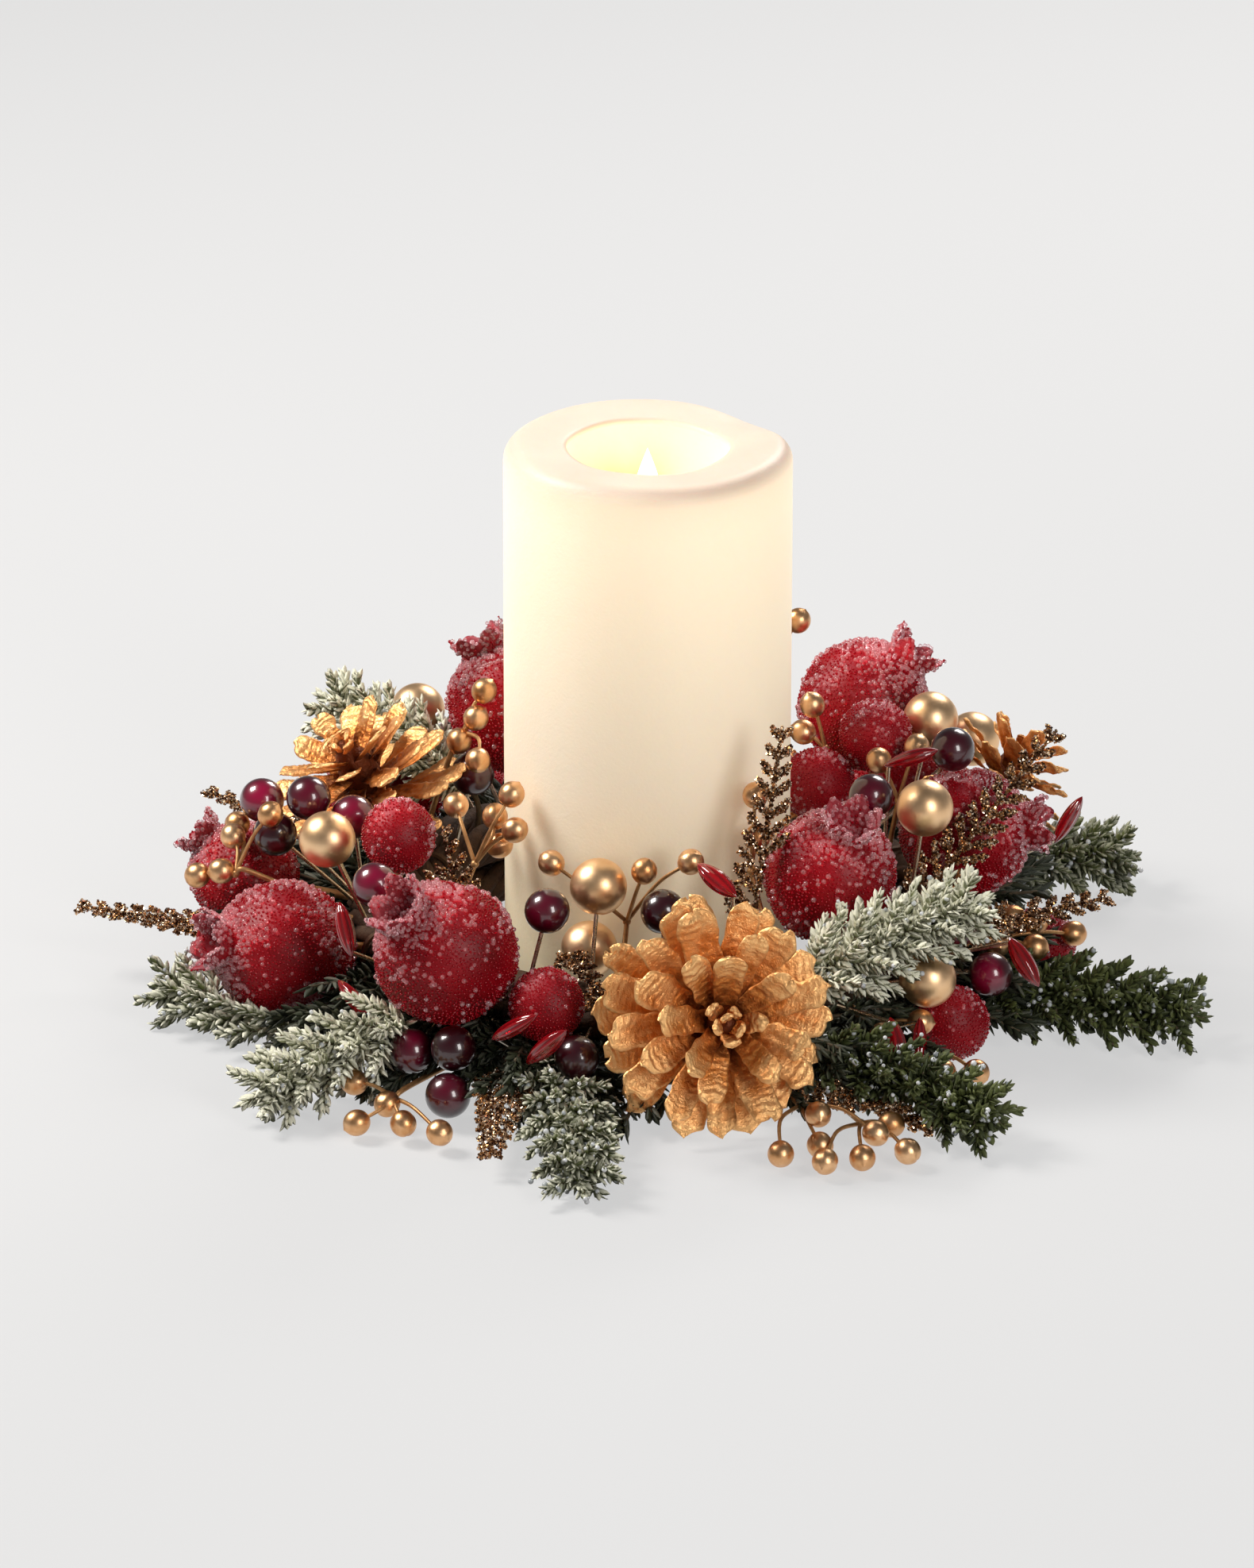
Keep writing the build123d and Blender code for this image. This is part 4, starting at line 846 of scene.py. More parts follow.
@dataclass(frozen=True)
class ConeGold(Finish):
    """Satin gold paint on wrinkled scales, with painted shade that turns it orange-brown to near black deep
    inside, and paler towards the tips.
    """

    # Near black: painted shade at the scale roots and on the core.
    deep: Colour = (0.10, 0.020, 0.003)
    mid: Colour = (0.72, 0.25, 0.050)
    tip: Colour = (0.97, 0.55, 0.22)

    def dress(self, graph: Graph) -> Inputs:
        """Colours along the tag, which runs from 0 at a scale's root to 1 at its tip, so the deep roots take
        the painted shade.
        """
        shift = graph.swing(self.patches(graph, scale=180.0, contrast=2.0)["Patch"], 0.45)
        colour = graph.steps(graph.math("ADD", graph.tag(), shift),
                             [(0.0, self.deep), (0.25, self.deep), (0.58, self.mid), (0.95, self.tip)])
        folds = graph.add("TexNoise", {"Vector": graph.spot(), "Scale": 900.0, "Detail": 5.0,
                                       "Distortion": 1.0}).outputs["Fac"]
        return {"Base Color": colour, "Normal": self.bump(graph, folds, strength=0.7, depth=0.0006)}


@dataclass(frozen=True)
class LacquerWithPaintedSheen(Finish):
    """Dark lacquer of the burgundy berries, with its pearly purple painted as a sheen on the side that faces
    the viewer.
    """

    body: Colour = (0.008, 0.0001, 0.001)
    # Colour of the painted sheen.
    glow: Colour = (0.46, 0.001, 0.060)

    def dress(self, graph: Graph) -> Inputs:
        """Painted sheen: purple where the surface faces the viewer, near black at the edge."""
        patches = self.patches(graph, scale=40.0, contrast=1.5)
        each = graph.math("MULTIPLY", graph.math("POWER", patches["Each"], 2.0), 0.8)
        facing = graph.add("LayerWeight", {"Blend": 0.35}).outputs["Facing"]
        middle = graph.math("POWER", graph.math("SUBTRACT", 1.0, facing), 2.5)
        # Painted sheen share: strongest where the berry faces the viewer, stronger on some berries.
        inner = graph.math("MULTIPLY", middle, graph.math("ADD", each, 0.06))
        return {"Base Color": graph.blend(inner, self.body, self.glow),
                "Coat Weight": 1.0, "Coat Roughness": 0.03}


@dataclass(frozen=True)
class Ruby(Finish):
    """Clear ribbed ruby beads."""

    body: Colour = (0.62, 0.006, 0.014)
    # Painted shade colour for the grooves between the ribs.
    dark: Colour = (0.28, 0.002, 0.006)

    def dress(self, graph: Graph) -> Inputs:
        """Painted shade: darker in the grooves between the ribs."""
        return {"Base Color": graph.blend(graph.tag(), self.dark, self.body), "Transmission Weight": 0.45,
                "IOR": 1.5, "Coat Weight": 1.0, "Coat Roughness": 0.04}


@dataclass(frozen=True)
class NeedleGreen(Finish):
    """Grey-green needles with frost on their upper sides."""

    green: Colour = (0.020, 0.030, 0.012)
    light: Colour = (0.18, 0.21, 0.060)
    frost: Colour = (0.97, 0.96, 0.78)

    def dress(self, graph: Graph) -> Inputs:
        """Green by needle, then frost by height of the normal and by the tag."""
        patches = self.patches(graph, scale=90.0, contrast=1.8)
        tone = graph.math("MULTIPLY", graph.math("ADD", patches["Each"], patches["Patch"]), 0.5)
        green = graph.blend(tone, self.green, self.light)
        settled = graph.group(EFFECTS.frost, Amount=0.50, Scale=520.0, Upward=0.30).outputs["Mask"]
        mask = graph.math("MULTIPLY", graph.math("ADD", settled, 0.22), graph.tag())
        height = self.grain(graph, fine=2500.0, coarse=900.0)
        return {"Base Color": graph.blend(graph.spread(mask, 0.08, 0.62), green, self.frost),
                "Normal": self.bump(graph, height, strength=0.6, depth=0.0004)}


@dataclass(frozen=True)
class FrostBead(Finish):
    """White micro beads on the needles."""

    body: Colour = (0.90, 0.92, 0.93)
    shade: Colour = (0.42, 0.46, 0.48)

    def dress(self, graph: Graph) -> Inputs:
        """Varies the white from bead to bead."""
        each = self.patches(graph, scale=120.0, contrast=1.5)["Each"]
        return {"Base Color": graph.blend(each, self.shade, self.body), "Coat Weight": 0.5}


@dataclass(frozen=True)
class Glitter(Finish):
    """Glitter grains in brown, gold and white; the white grains are partly pale glitter and partly painted
    glints.
    """

    brown: Colour = (0.075, 0.026, 0.010)
    gold: Colour = (0.68, 0.34, 0.12)
    # Pale grains that also stand in for painted glints.
    white: Colour = (0.98, 0.84, 0.66)

    def dress(self, graph: Graph) -> Inputs:
        """Colours each grain by itself."""
        each = self.patches(graph, scale=30.0, contrast=1.0)["Each"]
        stops = [(0.0, self.brown), (0.30, self.brown), (0.60, self.gold), (0.92, self.white)]
        return {"Base Color": graph.steps(each, stops)}


@dataclass(frozen=True)
class PaintedGlowWax(Finish):
    """Creamy wax with a painted glow: its emission makes it bright in the bowl and at the top, and it is greyer
    near the foot.
    """

    cream: Colour = (0.92, 0.85, 0.71)
    foot: Colour = (0.87, 0.75, 0.50)
    # Partly the wax's own pink, partly painted shade on the lit top.
    rosy: Colour = (0.82, 0.61, 0.50)
    # Painted glow colours: bowl is the amber of the bowl, in its base colour and emission; warm is the emission
    # colour elsewhere.
    bowl: Colour = (1.0, 0.76, 0.26)
    warm: Colour = (1.0, 0.80, 0.53)
    height: float = 0.2032
    # Strengths of the painted glow towards the top and in the bowl.
    glow: float = 0.66
    bowl_glow: float = 0.14
    bowl_radius: float = 0.030

    def tone(self, graph: Graph, z: Socket) -> Socket:
        """Cream that turns deeper at the foot and rosy in patches at the top; the rosy top is partly the wax's
        own tint and partly painted shade that dims the lit upper face.
        """
        rosy_high = graph.spread(z, self.height * 0.90, self.height * 0.985)
        patch = graph.math("MULTIPLY", self.patches(graph, scale=26.0, contrast=1.6)["Patch"], 0.6)
        rosy_tint_and_shade = graph.math("MULTIPLY", rosy_high, graph.math("ADD", patch, 0.4))
        wax = graph.blend(graph.spread(z, self.height * 0.45, self.height * 0.08), self.cream, self.foot)
        return graph.blend(rosy_tint_and_shade, wax, self.rosy)

    def strength(self, graph: Graph, z: Socket, in_bowl: Socket
                 ) -> Socket:
        """How strongly the painted glow shines: more towards the top, little on flat, upward faces, evenly in
        the bowl.
        """
        level = graph.math("MULTIPLY", graph.spread(z, 0.0, self.height * 0.94), self.glow)
        up = graph.add("SeparateXYZ", {"Vector": graph.add("NewGeometry").outputs["Normal"]}).outputs["Z"]
        # Less painted glow on upward faces, which the lamps already light.
        flat = graph.math("MULTIPLY", graph.spread(up, 0.0, 0.75), 0.86)
        for shade in (flat, in_bowl):
            level = graph.math("MULTIPLY", level, graph.math("SUBTRACT", 1.0, shade))
        return graph.math("ADD", level, graph.math("MULTIPLY", in_bowl, self.bowl_glow))

    def dress(self, graph: Graph) -> Inputs:
        """Lays the wax's tones with painted amber in the bowl, then the painted glow by height and inside the
        bowl.
        """
        parts = graph.add("SeparateXYZ", {"Vector": graph.spot()}).outputs
        squares = [graph.math("POWER", parts[n], 2.0) for n in range(2)]
        out = graph.math("SQRT", graph.math("ADD", *squares))
        in_bowl = graph.math("MULTIPLY", graph.spread(out, self.bowl_radius, self.bowl_radius * 0.55),
                             graph.spread(parts[2], self.height * 0.80, self.height * 0.86))
        # Painted glow: the bowl's base colour is pulled towards amber.
        painted_bowl_glow = graph.math("MULTIPLY", in_bowl, 0.75)
        lit = graph.add("VectorMath", {0: graph.blend(in_bowl, self.warm, self.bowl),
                                       "Scale": self.strength(graph, parts[2], in_bowl)}, operation="SCALE")
        height = self.grain(graph, fine=900.0, coarse=45.0, share=0.25)
        return {"Base Color": graph.blend(painted_bowl_glow, self.tone(graph, parts[2]), self.bowl),
                "Emission Color": lit.outputs["Vector"], "Emission Strength": 1.0,
                "Normal": self.bump(graph, height, strength=0.35, depth=0.0012),
                "Subsurface Weight": 0.25, "Subsurface Radius": (0.012, 0.007, 0.004), "Subsurface Scale": 1.0,
                "Coat Weight": 0.12, "Coat Roughness": 0.35}


@dataclass(frozen=True)
class FlameGlow(Finish):
    """Flame blade: white at the tip, orange towards its foot."""

    foot: Colour = (1.0, 0.42, 0.08)
    top: Colour = (1.0, 0.93, 0.74)
    low_z: float = 0.170
    high_z: float = 0.196

    def dress(self, graph: Graph) -> Inputs:
        """Glows from foot to tip."""
        z = graph.add("SeparateXYZ", {"Vector": graph.spot()}).outputs["Z"]
        colour = graph.blend(graph.spread(z, self.low_z, self.high_z), self.foot, self.top)
        return {"Base Color": colour, "Emission Color": colour, "Emission Strength": 3.0}


SATIN_GOLD = Plain("satin_gold", roughness=0.38, metallic=1.0, light=(1.0, 0.71, 0.43),
                   dark=(0.92, 0.56, 0.28), patch_scale=70.0, fine=5000.0, coarse=500.0, depth=0.00006,
                   bump_strength=0.4)
BERRY_GOLD = Plain("berry_gold", roughness=0.36, metallic=1.0, light=(0.96, 0.62, 0.35),
                   dark=(0.60, 0.28, 0.10), patch_scale=240.0, fine=3500.0, coarse=700.0, depth=0.00012,
                   bump_strength=0.6, each=0.5)
STEM_GOLD = Plain("stem_gold", roughness=0.45, metallic=0.65, light=(0.66, 0.38, 0.16),
                  dark=(0.34, 0.16, 0.06), patch_scale=300.0, fine=3000.0, coarse=600.0, depth=0.0002,
                  bump_strength=0.6)
TWIST_WIRE = Plain("twist_wire", roughness=0.28, metallic=1.0, light=(0.86, 0.76, 0.60),
                   dark=(0.50, 0.38, 0.24), patch_scale=300.0)
BARK = Plain("vine_bark", roughness=0.8, light=(0.13, 0.070, 0.035), dark=(0.030, 0.014, 0.008),
             patch_scale=160.0, fine=1200.0, coarse=260.0, depth=0.0008, bump_strength=0.9)
BROWN_TIE = Plain("brown_tie", roughness=0.5, metallic=0.6, light=(0.22, 0.14, 0.08), dark=(0.09, 0.05, 0.03))
TWIG_BROWN = Plain("twig_brown", roughness=0.8, light=(0.16, 0.12, 0.07), dark=(0.05, 0.04, 0.02),
                   patch_scale=300.0, depth=0.0003, bump_strength=0.8)
FERN_CORE = Plain("fern_core", roughness=0.55, metallic=0.5, light=(0.20, 0.09, 0.035),
                  dark=(0.06, 0.025, 0.010), patch_scale=400.0, depth=0.0003, bump_strength=0.8)
BEADED_SKIN = FruitSkin("beaded_skin", roughness=0.42)
FROSTED_SKIN = FruitSkin("frosted_skin", roughness=0.45, deep=(0.17, 0.002, 0.006),
                         bright=(0.46, 0.006, 0.016), frost_share=0.2)
RED_BEADS = BeadGlass("red_beads", roughness=0.05)
CLEAR_BEADS = BeadGlass("clear_beads", roughness=0.05, tint=(1.0, 0.62, 0.68), transmission=0.85)
CONE_GOLD = ConeGold("cone_gold", roughness=0.36, metallic=0.72)
BURGUNDY = LacquerWithPaintedSheen("burgundy_painted_sheen", roughness=0.28, metallic=0.0)
RUBY = Ruby("ruby_bead", roughness=0.08)
NEEDLES = NeedleGreen("frosted_needles", roughness=0.6)
# Near-black needles: dark foliage that also stands in as painted shade in the gaps between the pieces.
SHADE_NEEDLES = NeedleGreen("shade_dark_needles", roughness=0.6, green=(0.008, 0.013, 0.006),
                           light=(0.045, 0.055, 0.022))
NEEDLE_BEADS = FrostBead("needle_beads", roughness=0.25)
GLITTER = Glitter("glitter_grains", roughness=0.22, metallic=0.85)
WAX = PaintedGlowWax("painted_glow_wax", roughness=0.5)
FLAME = FlameGlow("flame_glow", roughness=0.5)
HOUSING = Plain("housing_plastic", roughness=0.5, light=(0.80, 0.77, 0.70), dark=(0.74, 0.71, 0.64))
STEEL = Plain("plated_steel", roughness=0.3, metallic=1.0, light=(0.66, 0.66, 0.68), dark=(0.52, 0.52, 0.54))
CELL = Plain("cell_sleeve", roughness=0.35, light=(0.11, 0.12, 0.15), dark=(0.06, 0.07, 0.09), coat=0.5)
BOARD = Plain("board_lacquer", roughness=0.35, light=(0.03, 0.20, 0.08), dark=(0.02, 0.13, 0.05), coat=0.4)
CHIP = Plain("chip_black", roughness=0.55, light=(0.035, 0.035, 0.04), dark=(0.02, 0.02, 0.024))
CAN = Plain("can_metal", roughness=0.3, metallic=0.8, light=(0.40, 0.42, 0.50), dark=(0.28, 0.30, 0.38))
LEAD = Plain("lead_sleeve", roughness=0.5, light=(0.50, 0.04, 0.03), dark=(0.36, 0.02, 0.02))
COPPER = Plain("copper_winding", roughness=0.35, metallic=1.0, light=(0.80, 0.38, 0.20),
               dark=(0.58, 0.24, 0.12), coarse=1500.0, depth=0.0003)
LAMP = FlameGlow("lamp_lens", roughness=0.1, low_z=0.13, high_z=0.16)


# Pieces

class Body(Enum):
    """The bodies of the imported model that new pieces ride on."""

    RING = "ring"
    CANDLE = "candle"


POMEGRANATES = [f"pomegranate_{n}" for n in range(1, 10)]
CONES = [f"pine_cone_{n}" for n in range(1, 6)]
SPRIG_LOOKS = ((1.0, 90), (0.45, 240), (1.0, 110), (0.06, 280), (0.08, 260), (0.85, 60), (0.50, 80),
               (0.50, 90), (0.25, 160))


def put(thing: bpy.types.Object) -> None:
    """Puts an object in the scene."""
    bpy.context.scene.collection.objects.link(thing)


def place_piece(shape: Shape, name: str, finish: Finish, nodes: Iterable[str] = (),
                body: Body = Body.RING, smooth: bool = True) -> None:
    """Makes a piece of the scene from a shape.

    Args:
        shape: its points and faces.
        name: its name.
        finish: its surface.
        nodes: the nodes that it stands for.
        body: the body that it rides on.
        smooth: whether its faces are shaded smooth.
    """
    piece = bpy.data.objects.new(name, shape.mesh(name, smooth))
    put(piece)
    piece.data.materials.append(finish.material())
    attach(piece, body.value)
    if nodes:
        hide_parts(*nodes)
    log.info("%s: %d faces", name, len(piece.data.polygons))


def dress_node(node: str, finish: Finish) -> None:
    """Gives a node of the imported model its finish."""
    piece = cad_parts[node]
    for material_slot in piece.material_slots:
        material_slot.material = finish.material()
    log.info("%s: dressed as %s", node, finish.name)


def scatter_beads(shape: Shape, level: int, places: Array, radii: Array, tags: Array, seed: int) -> None:
    """Adds a bead at each place, turned at random.

    Args:
        shape: the shape that takes the beads.
        level: how finely each bead is divided.
        places: one place per bead.
        radii: one radius per bead.
        tags: one value per bead.
        seed: picks how the beads are turned.
    """
    rng = seeded(seed)
    points, faces = icosphere(level)
    ways = random_ways(rng, len(places))
    frames = turned_frames(ways, rng.uniform(0, math.tau, len(places))) * radii[:, None, None]
    shape.scatter(points, faces, frames, places, tags)


@dataclass(frozen=True)
class BeadCoat:
    """Glass beads glued over a skin: small red ones, and large clear drops where the crust is thick."""

    small: float
    large: float
    spacing: float
    tries: int
    large_share: float
    crust_power: float
    small_lift: float
    large_lift: float
    least_share: float = 0.05
    sizes: tuple[float, float] = (0.75, 1.12)
    small_tag: float = 0.15
    room: float = 1.4

    def skin_radius(self, radius: float) -> float:
        """Radius of the skin that leaves room for its beads."""
        return radius - self.room * self.small

    def spots(self, points: Array, faces: Array, seed: int) -> Pair:
        """Places and normals of the beads over a skin."""
        return spread_places(points, faces, self.spacing, self.tries, seed)

    def lay(self, beads: Shape, drops: Shape, places: Array, normals: Array, crust: Array,
            rng: Random, seed: int) -> None:
        """Adds the beads and the drops.

        Args:
            beads: the shape that takes the small beads.
            drops: the shape that takes the large ones.
            places: where they sit on the skin.
            normals: the skin's normals there.
            crust: how thick the crust is there, from 0 to 1.
            rng: source of sizes.
            seed: picks how they are turned.
        """
        large = rng.random(len(places)) < self.least_share + self.large_share * crust ** self.crust_power
        radii = np.where(large, self.large, self.small) * rng.uniform(*self.sizes, len(places))
        for shape, level, chosen, lift, tags in (
                (beads, 0, ~large, self.small_lift, crust * self.small_tag),
                (drops, 1, large, self.large_lift, np.ones(len(places)))):
            raised = places + normals * radii[:, None] * lift
            scatter_beads(shape, level, raised[chosen], radii[chosen], tags[chosen], seed)


@dataclass
class Pomegranate:
    """Round fruit with a lobed body and a toothed crown, crusted with clear beads."""

    node: str
    seed: int
    lobes: int = 6
    teeth: int = 6
    rows: int = 74
    columns: int = 96
    crown_share: float = 0.40
    rise_share: float = 0.40
    crown_start: float = 1.25
    coat: BeadCoat = BeadCoat(small=0.50 * MM, large=0.88 * MM, spacing=1.08 * MM, tries=17000,
                              large_share=0.70, crust_power=1.4, small_lift=0.45, large_lift=0.6)

    def body(self, centre: Array, radius: float, way: Array) -> tuple[Array, Array, Array]:
        """Shapes the fruit as one closed skin with its crown.

        Args:
            centre: centre of the round part.
            radius: its radius.
            way: direction of the crown.

        Returns:
            Points, faces and how far each point belongs to the crown.
        """
        turn = np.linspace(0, math.tau, self.columns, endpoint=False)
        neck = math.asin(self.crown_share * 0.80)
        polar = np.linspace(math.pi - 1e-3, neck, int(self.rows * 0.62))
        rng = seeded(self.seed)
        jag = 0.5 + 0.5 * np.cos(self.teeth * turn + rng.uniform(0, PHASE))
        jag = jag ** 0.6 * (1 + 0.25 * np.sin(turn * 2 + rng.uniform(0, PHASE)))
        rings = []
        for angle in polar:
            squash = 0.985 + 0.015 * math.cos(2 * angle)
            lobe = 1 + 0.022 * math.sin(angle) * np.cos(self.lobes * turn / 2 + self.seed)
            rings.append((np.sin(angle) * lobe * squash, np.full_like(turn, math.cos(angle)), 0.0))
        base_r, base_z = math.sin(neck), math.cos(neck)
        rim_z = base_z + self.rise_share * (0.45 + 0.55 * jag)
        for share in np.linspace(0.12, 1, int(self.rows * 0.16)):
            swell = base_r * (1 + 0.30 * share ** 1.5 + 0.10 * share * jag)
            rings.append((swell, base_z + (rim_z - base_z) * share, share))
        for share in np.linspace(0.1, 1, int(self.rows * 0.16)):
            inner = base_r * (1.30 + 0.10 * jag) * (1 - 0.14 * min(share * 4, 1)) * (1 - 0.30 * share)
            rings.append((inner, rim_z - (rim_z - base_z + 0.10) * share, 1.0))
        last_r, last_z, _ = rings[-1]
        for share in np.linspace(0.3, 1, 4):
            rings.append((last_r * (1 - 0.97 * share), last_z + 0.03 * share, 1.0))
        out = np.stack([ring[0] * np.ones_like(turn) for ring in rings])
        up = np.stack([ring[1] * np.ones_like(turn) for ring in rings])
        tag = np.repeat([ring[2] for ring in rings], self.columns)
        local = round_axis(out, turn, up).reshape(-1, 3) * radius
        local *= 1 + 0.018 * ripple(local + centre, radius * 0.9, self.seed)[:, None]
        matrix = turned_frame(way, rng.uniform(0, math.tau))
        return local @ matrix.T + centre, grid_faces(len(rings), self.columns), tag

    def build(self) -> None:
        """Makes the skin and its beads."""
        solid = solids_of(self.node)[0]
        centre, radius = fit_ball(solid.points)
        far = solid.points[norm(solid.points - centre, axis=1) > radius * self.crown_start]
        way = unit(far.mean(0) - centre)
        points, faces, tag = self.body(centre, self.coat.skin_radius(radius), way)
        skin, beads, drops = Shape(), Shape(), Shape()
        skin.add(points, faces, tag)
        places, normals = self.coat.spots(points, faces, self.seed)
        crust = self.crust(places, centre, radius, way, normals)
        self.coat.lay(beads, drops, places, normals, crust, seeded(self.seed + 100), self.seed)
        place_piece(skin, self.node + "_skin", BEADED_SKIN, [self.node])
        place_piece(beads, self.node + "_beads", RED_BEADS)
        place_piece(drops, self.node + "_drops", CLEAR_BEADS)

    def crust(self, places: Array, centre: Array, radius: float, way: Array, normals: Array) -> Array:
        """How thick the crust of drops is: most on the crown and in patches on upper sides.

        Args:
            places: where the beads sit.
            centre: centre of the round part.
            radius: its radius.
            way: direction of the crown.
            normals: the skin's normals at the beads.

        Returns:
            One value from 0 to 1 per bead.
        """
        near_crown = np.clip(((places - centre) @ way / radius - 0.45) * 1.6, 0, 1)
        upper = np.clip(normals[:, 2] * 0.45 + 0.55 * ripple(places, 0.016, self.seed + 3), 0, 1)
        return np.clip(near_crown + upper * 0.85, 0, 1)


@dataclass
class FrostedFruits:
    """Small round fruit under frosted beads."""

    node: str = "frosted_fruits"
    rows: int = 30
    columns: int = 40
    coat: BeadCoat = BeadCoat(small=0.45 * MM, large=0.75 * MM, spacing=0.98 * MM, tries=7000,
                              large_share=0.42, crust_power=1.6, small_lift=0.5, large_lift=0.5)

    def build(self) -> None:
        """Makes all the fruit as one piece of skins, one of beads and one of drops."""
        skin, beads, drops = Shape(), Shape(), Shape()
        for n, solid in enumerate(solids_of(self.node)):
            points, faces = ball_grid(self.rows, self.columns)
            radius = self.coat.skin_radius(solid.radius)
            points = points * (1 + 0.02 * ripple(points, 1.6, n))[:, None] * radius + solid.centre
            skin.add(points, faces)
            places, normals = self.coat.spots(points, faces, n)
            crust = np.clip(normals[:, 2] * 0.5 + 0.45 * ripple(places, 0.014, n + 40) - 0.05, 0, 1)
            self.coat.lay(beads, drops, places, normals, crust, seeded(n), n)
        place_piece(skin, "frosted_fruit_skins", FROSTED_SKIN, [self.node])
        place_piece(beads, "frosted_fruit_beads", RED_BEADS)
        place_piece(drops, "frosted_fruit_drops", CLEAR_BEADS)


@dataclass
class PineCone:
    """Open cone with wrinkled tongue-shaped scales in a spiral, painted gold."""

    node: str
    seed: int
    scales: int = 46
    rows: int = 46
    columns: int = 13
    wave: float = 0.36 * MM
    stations: tuple[float, ...] = (0.0, 0.31, 0.33, 0.62, 0.64, 0.84, 0.87, 1.0)
    leans: tuple[float, ...] = (-6.0, 6.0, 9.0, 20.0, 27.0, 38.0, 50.0, 64.0)
    reaches: tuple[float, ...] = (1.01, 1.00, 0.99, 0.96, 0.87, 0.75, 0.36, 0.25)
    widths: tuple[float, ...] = (0.31, 0.31, 0.31, 0.30, 0.28, 0.26, 0.17, 0.13)
    thickness: float = 0.048
    usual_radius: float = 40 * MM

    def scale_shape(self, length: float, width: float, thick: float, rng: Random
                    ) -> tuple[Array, Array, Array]:
        """One scale along +X, hollow side up.

        Args:
            length: root to tip.
            width: greatest width, near the tip.
            thick: thickness at the tip.
            rng: source of the scale's own irregularity.

        Returns:
            Points, faces and the share of the way to the tip.
        """
        u = (1 - (1 - np.linspace(0, 1, self.rows)) ** 1.25)[:, None]
        v = np.linspace(-1, 1, self.columns)[None, :]
        rounding = np.sqrt(np.clip(1 - ((u - 0.84) / 0.16).clip(0) ** 3.6, 0, 1))
        half = width / 2 * (0.50 + 0.50 * np.clip(u / 0.70, 0, 1)) * rounding
        half = np.maximum(half, width * 0.06)
        edge = 1 + 0.06 * np.sin(u * 19 + rng.uniform(0, PHASE)) * np.abs(v)
        x = u * length * (1 + 0.03 * np.sin(v * 2.2 + rng.uniform(0, PHASE)) * u)
        y = half * v * edge + 0.04 * width * np.sin(u * 3 + rng.uniform(0, PHASE)) * u
        cup = 0.10 * width * v ** 2 * (1.1 - u)
        curl = rng.uniform(0.01, 0.08) * length * u ** 2.4
        phase = rng.uniform(0, PHASE)
        lean_of_fold = (u * length + 0.14 * width * v ** 2) / self.wave
        drift = 1.6 * np.sin(v * 4 + phase) + 2.0 * np.sin(u * 17 + 2 * v + phase)
        fold = np.sin(lean_of_fold + drift + phase)
        vein = np.sin(v * 9 + 2 * np.sin(u * 7 + phase))
        wrinkle = thick * (0.120 * fold + 0.080 * vein) * np.clip(u * 3, 0, 1)
        lip = -0.4 * thick * ((u - 0.88) / 0.12).clip(0) ** 2
        edge_fade = np.sqrt(np.clip(1.02 - v ** 4, 0, 1))
        swell = thick * (0.35 + 0.65 * u ** 1.5) * edge_fade * (0.3 + 0.7 * rounding)
        top = cup + curl + lip + wrinkle + swell * 0.5
        low = cup + curl + lip - swell * 0.5 + 0.5 * wrinkle
        upper = np.stack((x, y, top), axis=-1)
        lower = np.stack((x, y, low), axis=-1)[:, ::-1]
        points = np.concatenate((upper, lower), axis=1).reshape(-1, 3)
        tag = np.repeat(u[:, 0], 2 * self.columns)
        faces = grid_faces(self.rows, 2 * self.columns)[:, ::-1]
        cap = np.arange(2 * self.columns)
        pairs = np.stack((cap[:self.columns - 1], cap[1:self.columns],
                          cap[::-1][1:self.columns], cap[::-1][:self.columns - 1]), axis=-1)
        end = (self.rows - 1) * 2 * self.columns
        return points, np.concatenate((faces, pairs, pairs[:, ::-1] + end)), tag

    def build(self) -> None:
        """Builds the core and the spiral of scales."""
        solid = solids_of(self.node)[0]
        middle, way = turn_axis(solid.points)
        along = (solid.points - middle) @ way
        out = norm(solid.points - middle - along[:, None] * way, axis=1)
        radius, low, high = float(out.max()), float(along.min()), float(along.max())
        rng = seeded(self.seed)
        frame_of_cone = turned_frame(way, rng.uniform(0, PHASE))
        shape = Shape()
        count = int(self.scales * (0.5 + 0.5 * radius / self.usual_radius))
        for n in range(count):
            share = n / (count - 1)
            lean, length, width = (float(np.interp(share, self.stations, values))
                                   for values in (self.leans, self.reaches, self.widths))
            lean = math.radians(lean) + rng.normal() * 0.06
            length *= radius * rng.uniform(0.93, 1.03)
            width *= radius * rng.uniform(0.84, 1.14)
            points, faces, tag = self.scale_shape(length, width, radius * self.thickness, rng)
            roll = rng.normal() * 0.12
            points = points @ turning(0, roll).T @ turning(1, -lean).T
            root_z = low + (high - low) * (0.15 + 0.47 * share)
            points = points + np.array((radius * 0.05 * (1 - share), 0, root_z))
            points = points @ turning(2, n * GOLDEN_ANGLE + rng.normal() * 0.05).T
            points = points @ frame_of_cone.T + middle
            points += 0.0003 * ripple(points, 0.007, self.seed)[:, None]
            shape.add(points, faces, 0.1 + 0.9 * tag)
        line = np.linspace(low + (high - low) * 0.08, low + (high - low) * 0.70, 10)[:, None] * way + middle
        swell = radius * 0.24 * np.sqrt(np.clip(1 - np.linspace(-0.7, 1, 10) ** 2, 0.02, 1))
        # The core keeps tag zero and so takes the painted shade colour.
        shape.add(*tube(line, swell, 14))
        place_piece(shape, self.node + "_scales", CONE_GOLD, [self.node])


